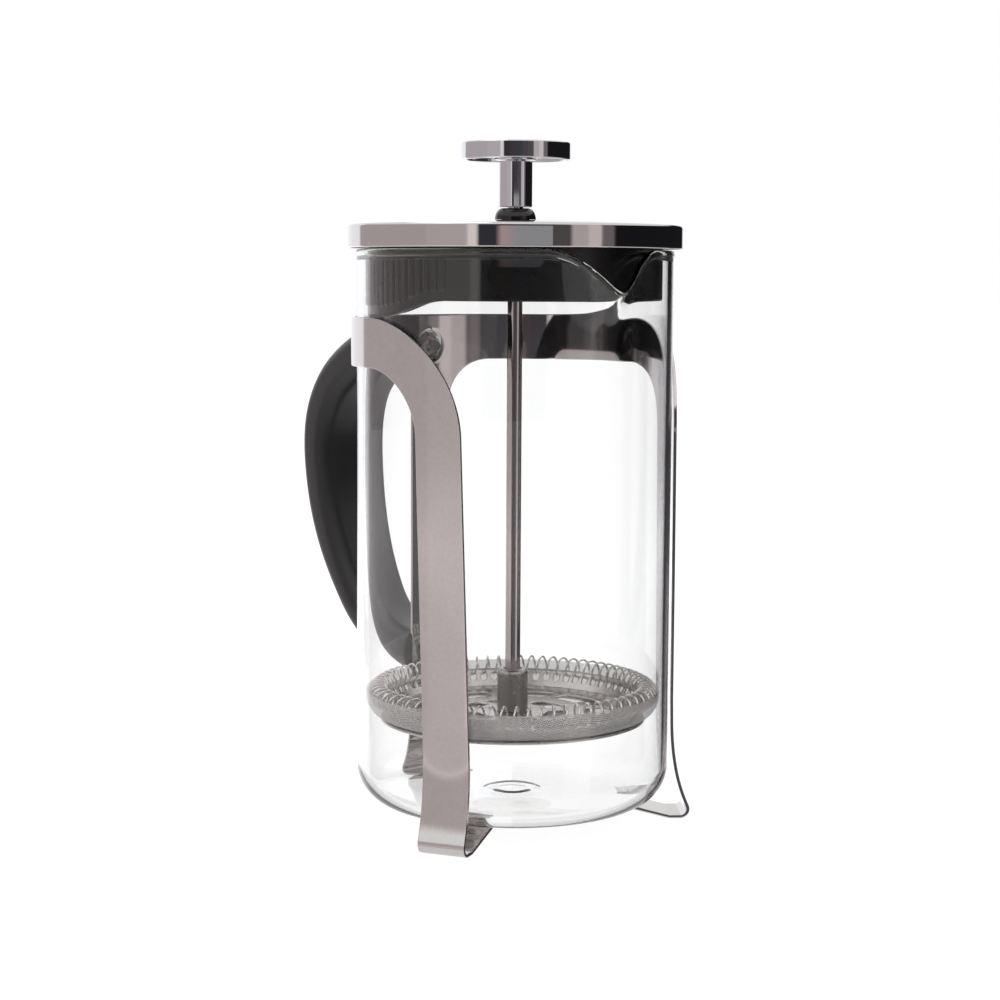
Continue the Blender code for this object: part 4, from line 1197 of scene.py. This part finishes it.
# %% rod and coupling
def make_rod():
    radius = radius_of("rod")
    low, high = bottom("rod"), top("rod")
    corners = [(0, low, 0), (radius, low, 0.0004), (radius, high, 0.0004), (0, high, 0)]
    rod = make_piece("rod_bar", turned(filleted(corners), 64), bright, "plunger", "rod")
    keep_flats(rod)
    wide = radius_of("rod_coupling")
    base, end = bottom("rod_coupling"), top("rod_coupling")
    step_height = low - GAP
    corners = [(STUD_HOLE, base, 0), (wide, base, 0.0003), (wide, end, 0.0018), (0.0029, end, 0.0003)]
    corners += [(ROD_BORE, step_height, 0), (STUD_HOLE, step_height, 0)]
    shape = turned(filleted(corners, 8))
    keep_flats(make_piece("rod_sleeve", shape, satin, "plunger", "rod_coupling"))


make_rod()

# %% [markdown]
# ## Pierced sheet
#
# The filter's two plates are pressed from sheet with rows of holes. Each hole is built into the grid: a
# cell of the sheet is a ring of faces between its square border and a rounded opening, and plain cells fill
# the rest. Solidify then gives thickness.

# %% pierced sheet
def plate_profile(points):
    """Makes a function that gives (radius, height) at any length along a profile."""
    def at(length):
        for (here, place), (there, target) in zip(points, points[1:]):
            if length <= there:
                break
        share = (length - here) / (there - here)
        return [a + (b - a) * share for a, b in zip(place, target)]
    return at


SHEET_COLUMNS = 288        # points round a sheet


class PiercedSheet:
    """A round sheet built from cells.  Its outline is (length, (radius, height)) along a profile."""

    def __init__(self, profile, shift=0.0):
        self.at = plate_profile(profile)
        self.shift = shift
        self.shape = bmesh.new()

    def corner(self, turn, length):
        radius, height = self.at(length)
        return self.shape.verts.new(round_place(radius, turn + self.shift, height))

    def plain(self, lengths):
        """Plain rings of faces between each pair of neighbouring lengths."""
        around = steps_between(0, 2 * math.pi, SHEET_COLUMNS)
        grid = [[self.corner(turn, length) for turn in around] for length in lengths]
        for row, following in zip(grid, grid[1:]):
            for side in range(len(row) - 1):
                self.shape.faces.new((row[side], row[side + 1], following[side + 1], following[side]))

    def ring_of_openings(self, inner, outer, count, start, open_turn, open_length, squareness):
        """A ring of pierced cells right round, begun at a share of a cell."""
        columns = SHEET_COLUMNS // count
        for cell in range(count):
            first = (cell + start) * columns
            turns = [2 * math.pi * (first + step) / SHEET_COLUMNS for step in range(columns + 1)]
            self.pierced(turns, steps_between(inner, outer, 4), open_turn, open_length, squareness)

    def pierced(self, turns, lengths, open_turn, open_length, squareness):
        """A cell with an opening that takes the given shares of it.  Squareness 2 is an ellipse."""
        border = [(turn, lengths[0]) for turn in turns[:-1]]
        border += [(turns[-1], length) for length in lengths[:-1]]
        border += [(turn, lengths[-1]) for turn in reversed(turns[1:])]
        border += [(turns[0], length) for length in reversed(lengths[1:])]
        middle = ((turns[0] + turns[-1]) / 2, (lengths[0] + lengths[-1]) / 2)
        half = ((turns[-1] - turns[0]) / 2, (lengths[-1] - lengths[0]) / 2)
        rings = [[], [], []]
        for turn, length in border:
            a = (turn - middle[0]) / half[0]
            b = (length - middle[1]) / half[1]
            pull = (abs(a) ** squareness + abs(b) ** squareness) ** (-1 / squareness)
            rim = (middle[0] + a * pull * open_turn * half[0], middle[1] + b * pull * open_length * half[1])
            for ring, share in zip(rings, (0.0, 0.6, 1.0)):
                ring.append(self.corner(turn + (rim[0] - turn) * share, length + (rim[1] - length) * share))
        for ring, inner in zip(rings, rings[1:]):
            for side in range(len(ring)):
                after = (side + 1) % len(ring)
                self.shape.faces.new((ring[side], ring[after], inner[after], inner[side]))

    def done(self):
        bmesh.ops.remove_doubles(self.shape, verts=self.shape.verts, dist=2e-6)
        bmesh.ops.recalc_face_normals(self.shape, faces=self.shape.faces)
        return self.shape


print("pierced sheet tools ready")

# %% [markdown]
# ## Filter sizes
#
# The filter is a stack: a slotted plate below, the woven bowl on it, and the spiral plate on top, whose
# leaning rim carries the coil. The same few sizes place all of them, so they are worked out once.

# %% filter sizes
COIL_TURNS = 72
SLOT_SQUARENESS = 5.0      # of the plates' slots, where 2 would be an ellipse
COIL_RADIUS = 0.00305
WIRE_RADIUS = 0.00036
COIL_PHASE = math.radians(250)
RIM_LEAN = math.radians(28)
RIM_ABOVE_HOLE = 0.0019
PIERCED_ABOVE = 0.0006     # a hole's reach above and below the wire that passes through it
PIERCED_BELOW = 0.0023
BOWL_RISE = 0.0078
BOWL_LIP = 0.0012
MESH_SHEET = 0.0003
PLATE_SHEET = 0.0006
CROSS_SHEET = 0.0007

cross_level = bottom("cross_plate") + CROSS_SHEET / 2
mesh_level = bottom("filter_mesh") + MESH_SHEET / 2
plate_level = bottom("spiral_plate") + PLATE_SHEET / 2
bowl_radius = radius_of("filter_mesh") - MESH_SHEET / 2
coil_centre = bowl_radius - MESH_SHEET / 2 - GAP - WIRE_RADIUS - COIL_RADIUS
coil_level = mesh_level + BOWL_RISE
crossing = Vector((
    coil_centre + COIL_RADIUS * math.cos(COIL_PHASE),
    coil_level + COIL_RADIUS * math.sin(COIL_PHASE),
))
rim_foot = crossing.x - (crossing.y - plate_level) * math.tan(RIM_LEAN)
print(f"coil centre {coil_centre:.4f}, level {coil_level:.4f}, rim foot {rim_foot:.4f}")

# %% [markdown]
# ## The coil
#
# A close-wound spring is bent into a ring and threaded through the holes of the spiral plate, one hole for
# each turn: the wire goes once round the small circle while that goes one seventy-second round the big one.

# %% coil
def make_coil():
    points = 28
    sides = 8
    angles = steps_between(0, 2 * math.pi, sides)[:-1]
    rows = []
    for step in range(COIL_TURNS * points):
        phase = COIL_PHASE + 2 * math.pi * step / points
        turn = phase / COIL_TURNS
        out = Vector((math.cos(turn), math.sin(turn), 0))
        side = Vector((-math.sin(turn), math.cos(turn), 0))
        outward = out * math.cos(phase) + Vector((0, 0, math.sin(phase)))
        middle = out * coil_centre + Vector((0, 0, coil_level)) + outward * COIL_RADIUS
        rows.append([middle + (outward * math.cos(a) + side * math.sin(a)) * WIRE_RADIUS for a in angles])
    shape = skin(rows, close_rows=True, close_columns=True)
    make_piece("coil_spring", shape, spring, "filter", "filter_spring", smooth=80)


make_coil()

# %% [markdown]
# ## The spiral plate
#
# A dished disc with two rings of slots in its floor, a raised bead round the floor's edge, and a leaning
# rim pierced with one oval hole for each turn of the coil.

# %% spiral plate
def make_spiral_plate():
    lean = Vector((math.sin(RIM_LEAN), math.cos(RIM_LEAN)))
    foot = Vector((rim_foot, plate_level))
    low = crossing - lean * PIERCED_BELOW
    high = crossing + lean * PIERCED_ABOVE
    rim = crossing + lean * RIM_ABOVE_HOLE
    bead = 0.0011
    profile = [(0.0, (0.0, plate_level))]
    for across, rise in ((2, 0), (1.5, 0.0004), (0.7, 0.0004)):
        radius = rim_foot - across * bead
        profile.append((radius, (radius, plate_level + rise)))
    length = rim_foot
    profile += [(length, tuple(foot))]
    for before, after in ((foot, low), (low, high), (high, rim)):
        length += (after - before).length
        profile += [(length, tuple(after))]
    shift = (COIL_PHASE / (2 * math.pi) - 0.5) / COIL_TURNS * 2 * math.pi
    sheet_of = PiercedSheet(profile, shift)
    hole_low, hole_high, end = profile[-3][0], profile[-2][0], profile[-1][0]
    sheet_of.ring_of_openings(hole_low, hole_high, COIL_TURNS, 0, 0.62, 0.97, 2.4)
    sheet_of.plain([hole_high, (hole_high + end) / 2, end])
    sheet_of.plain([length for length, _ in profile[1:-2]])
    sheet_of.plain([STUD_HOLE, 0.006, 0.0105])
    sheet_of.ring_of_openings(0.0105, 0.0185, 6, 0.0, 0.80, 0.78, SLOT_SQUARENESS)
    sheet_of.plain([0.0185, 0.0225])
    sheet_of.ring_of_openings(0.0225, 0.0330, 8, 0.5, 0.84, 0.78, SLOT_SQUARENESS)
    sheet_of.plain([0.0330, rim_foot - 2 * bead])
    shape = sheet_of.done()
    plate = make_piece("dished_plate", shape, sheet, "filter", "spiral_plate")
    thickened(plate, PLATE_SHEET)


make_spiral_plate()

# %% [markdown]
# ## The cross plate and its stud
#
# The lowest plate holds the woven bowl up. It is flat, with two rings of wide slots, a rim turned up a
# little, and a stud riveted through its middle.

# %% cross plate and stud
def make_cross_plate():
    edge = radius_of("cross_plate") - CROSS_SHEET / 2
    lip = 0.0004
    profile = [(0.0, (0.0, cross_level)), (edge - 0.0008, (edge - 0.0008, cross_level))]
    profile += [(edge, (edge, cross_level + lip))]
    sheet_of = PiercedSheet(profile)
    sheet_of.plain([STUD_HOLE, 0.007, 0.0145])
    sheet_of.plain([0.0235, 0.0262])
    sheet_of.plain([0.0358, edge - 0.0008, edge - 0.0004, edge])
    sheet_of.ring_of_openings(0.0145, 0.0235, 6, 0.0, 0.72, 0.82, SLOT_SQUARENESS)
    sheet_of.ring_of_openings(0.0262, 0.0358, 6, 0.5, 0.76, 0.82, SLOT_SQUARENESS)
    shape = sheet_of.done()
    plate = make_piece("slotted_plate", shape, sheet, "filter", "cross_plate")
    thickened(plate, CROSS_SHEET)
    low, high = bottom("filter_stud"), top("filter_stud")
    wide = radius_of("filter_stud")
    under = bottom("cross_plate") - GAP
    corners = [(0, low, 0), (wide, low, 0.0005), (wide, under, 0), (0.0020, under, 0), (0.0020, high, 0.0003)]
    corners += [(0, high, 0)]
    make_piece("rivet_stud", turned(filleted(corners), 64), bright, "filter", "filter_stud")


make_cross_plate()

# %% [markdown]
# ## The woven bowl
#
# The gauze is plain-woven steel wire, cut as a disc and pressed into a bowl that wipes the glass. The bowl
# is one smooth sheet and the weave is in its finish: two sets of wires that take turns on top, with open
# squares between them that the Alpha lets through. The mesh carries the flat disc's own coordinates, so
# that the weave bends with it.

# %% woven finish and bowl
WEAVE_PITCH = 0.0006
WIRE_EDGE = 0.65           # above this height of the weave's ridges there is wire, below it a gap


def woven_steel():
    steel = Finish("woven_steel", Metallic=0.2)
    disc = steel.add("ShaderNodeAttribute", {"attribute_name": "disc"}, output="Vector")
    threads = steel.scaled(disc, (1 / WEAVE_PITCH, 1 / WEAVE_PITCH, 0))
    along, across = steel.dot(threads, (1, 0, 0)), steel.dot(threads, (0, 1, 0))

    def ridge(value):
        """1 on the middle line of a thread and 0 between threads."""
        return 1.0 - (value.math("FRACT") - 0.5).math("ABSOLUTE") * 2.0

    warp = ridge(along)
    weft = ridge(across)
    odd = along.math("FLOOR") + across.math("FLOOR")
    over = (odd * 0.5).math("FRACT") > 0.25
    wire = warp.math("MAXIMUM", warp, weft)
    top_wire = warp * over + weft * (1.0 - over)
    clouds = steel.noise(steel.here(), 120.0, detail=3.0)
    steel.set("Base Color", steel.mix(clouds, (0.80, 0.77, 0.75), (0.92, 0.89, 0.87)))
    steel.set("Roughness", 0.26 + 0.12 * clouds)
    steel.set("Alpha", wire > WIRE_EDGE)
    steel.set("Normal", steel.bump(wire + top_wire * 0.6, 0.0002, 0.8))
    return steel


woven = woven_steel()


def make_bowl():
    profile = [Vector((radius, mesh_level)) for radius in steps_between(STUD_HOLE, rim_foot, 12)]
    for across, up in arc((0, 0), 1, -90, 0, 16)[1:]:
        radius = rim_foot + (bowl_radius - rim_foot) * across
        profile.append(Vector((radius, mesh_level + BOWL_RISE * (1 + up))))
    lip = steps_between(0, BOWL_LIP, 4)[1:]
    profile += [Vector((bowl_radius, mesh_level + BOWL_RISE + rise)) for rise in lip]
    lengths = [profile[0].x]
    for before, after in zip(profile, profile[1:]):
        lengths.append(lengths[-1] + (after - before).length)
    angles = steps_between(0, 2 * math.pi, 192)[:-1]
    rows = [[round_place(radius, angle, height) for angle in angles] for radius, height in profile]
    shape = skin(rows, close_columns=True)
    disc = shape.verts.layers.float_vector.new("disc")
    flat = [round_place(length, angle, 0) for length in lengths for angle in angles]
    for vertex, place in zip(shape.verts, flat):
        vertex[disc] = place
    make_piece("gauze_bowl", shape, woven, "filter", "filter_mesh")


make_bowl()
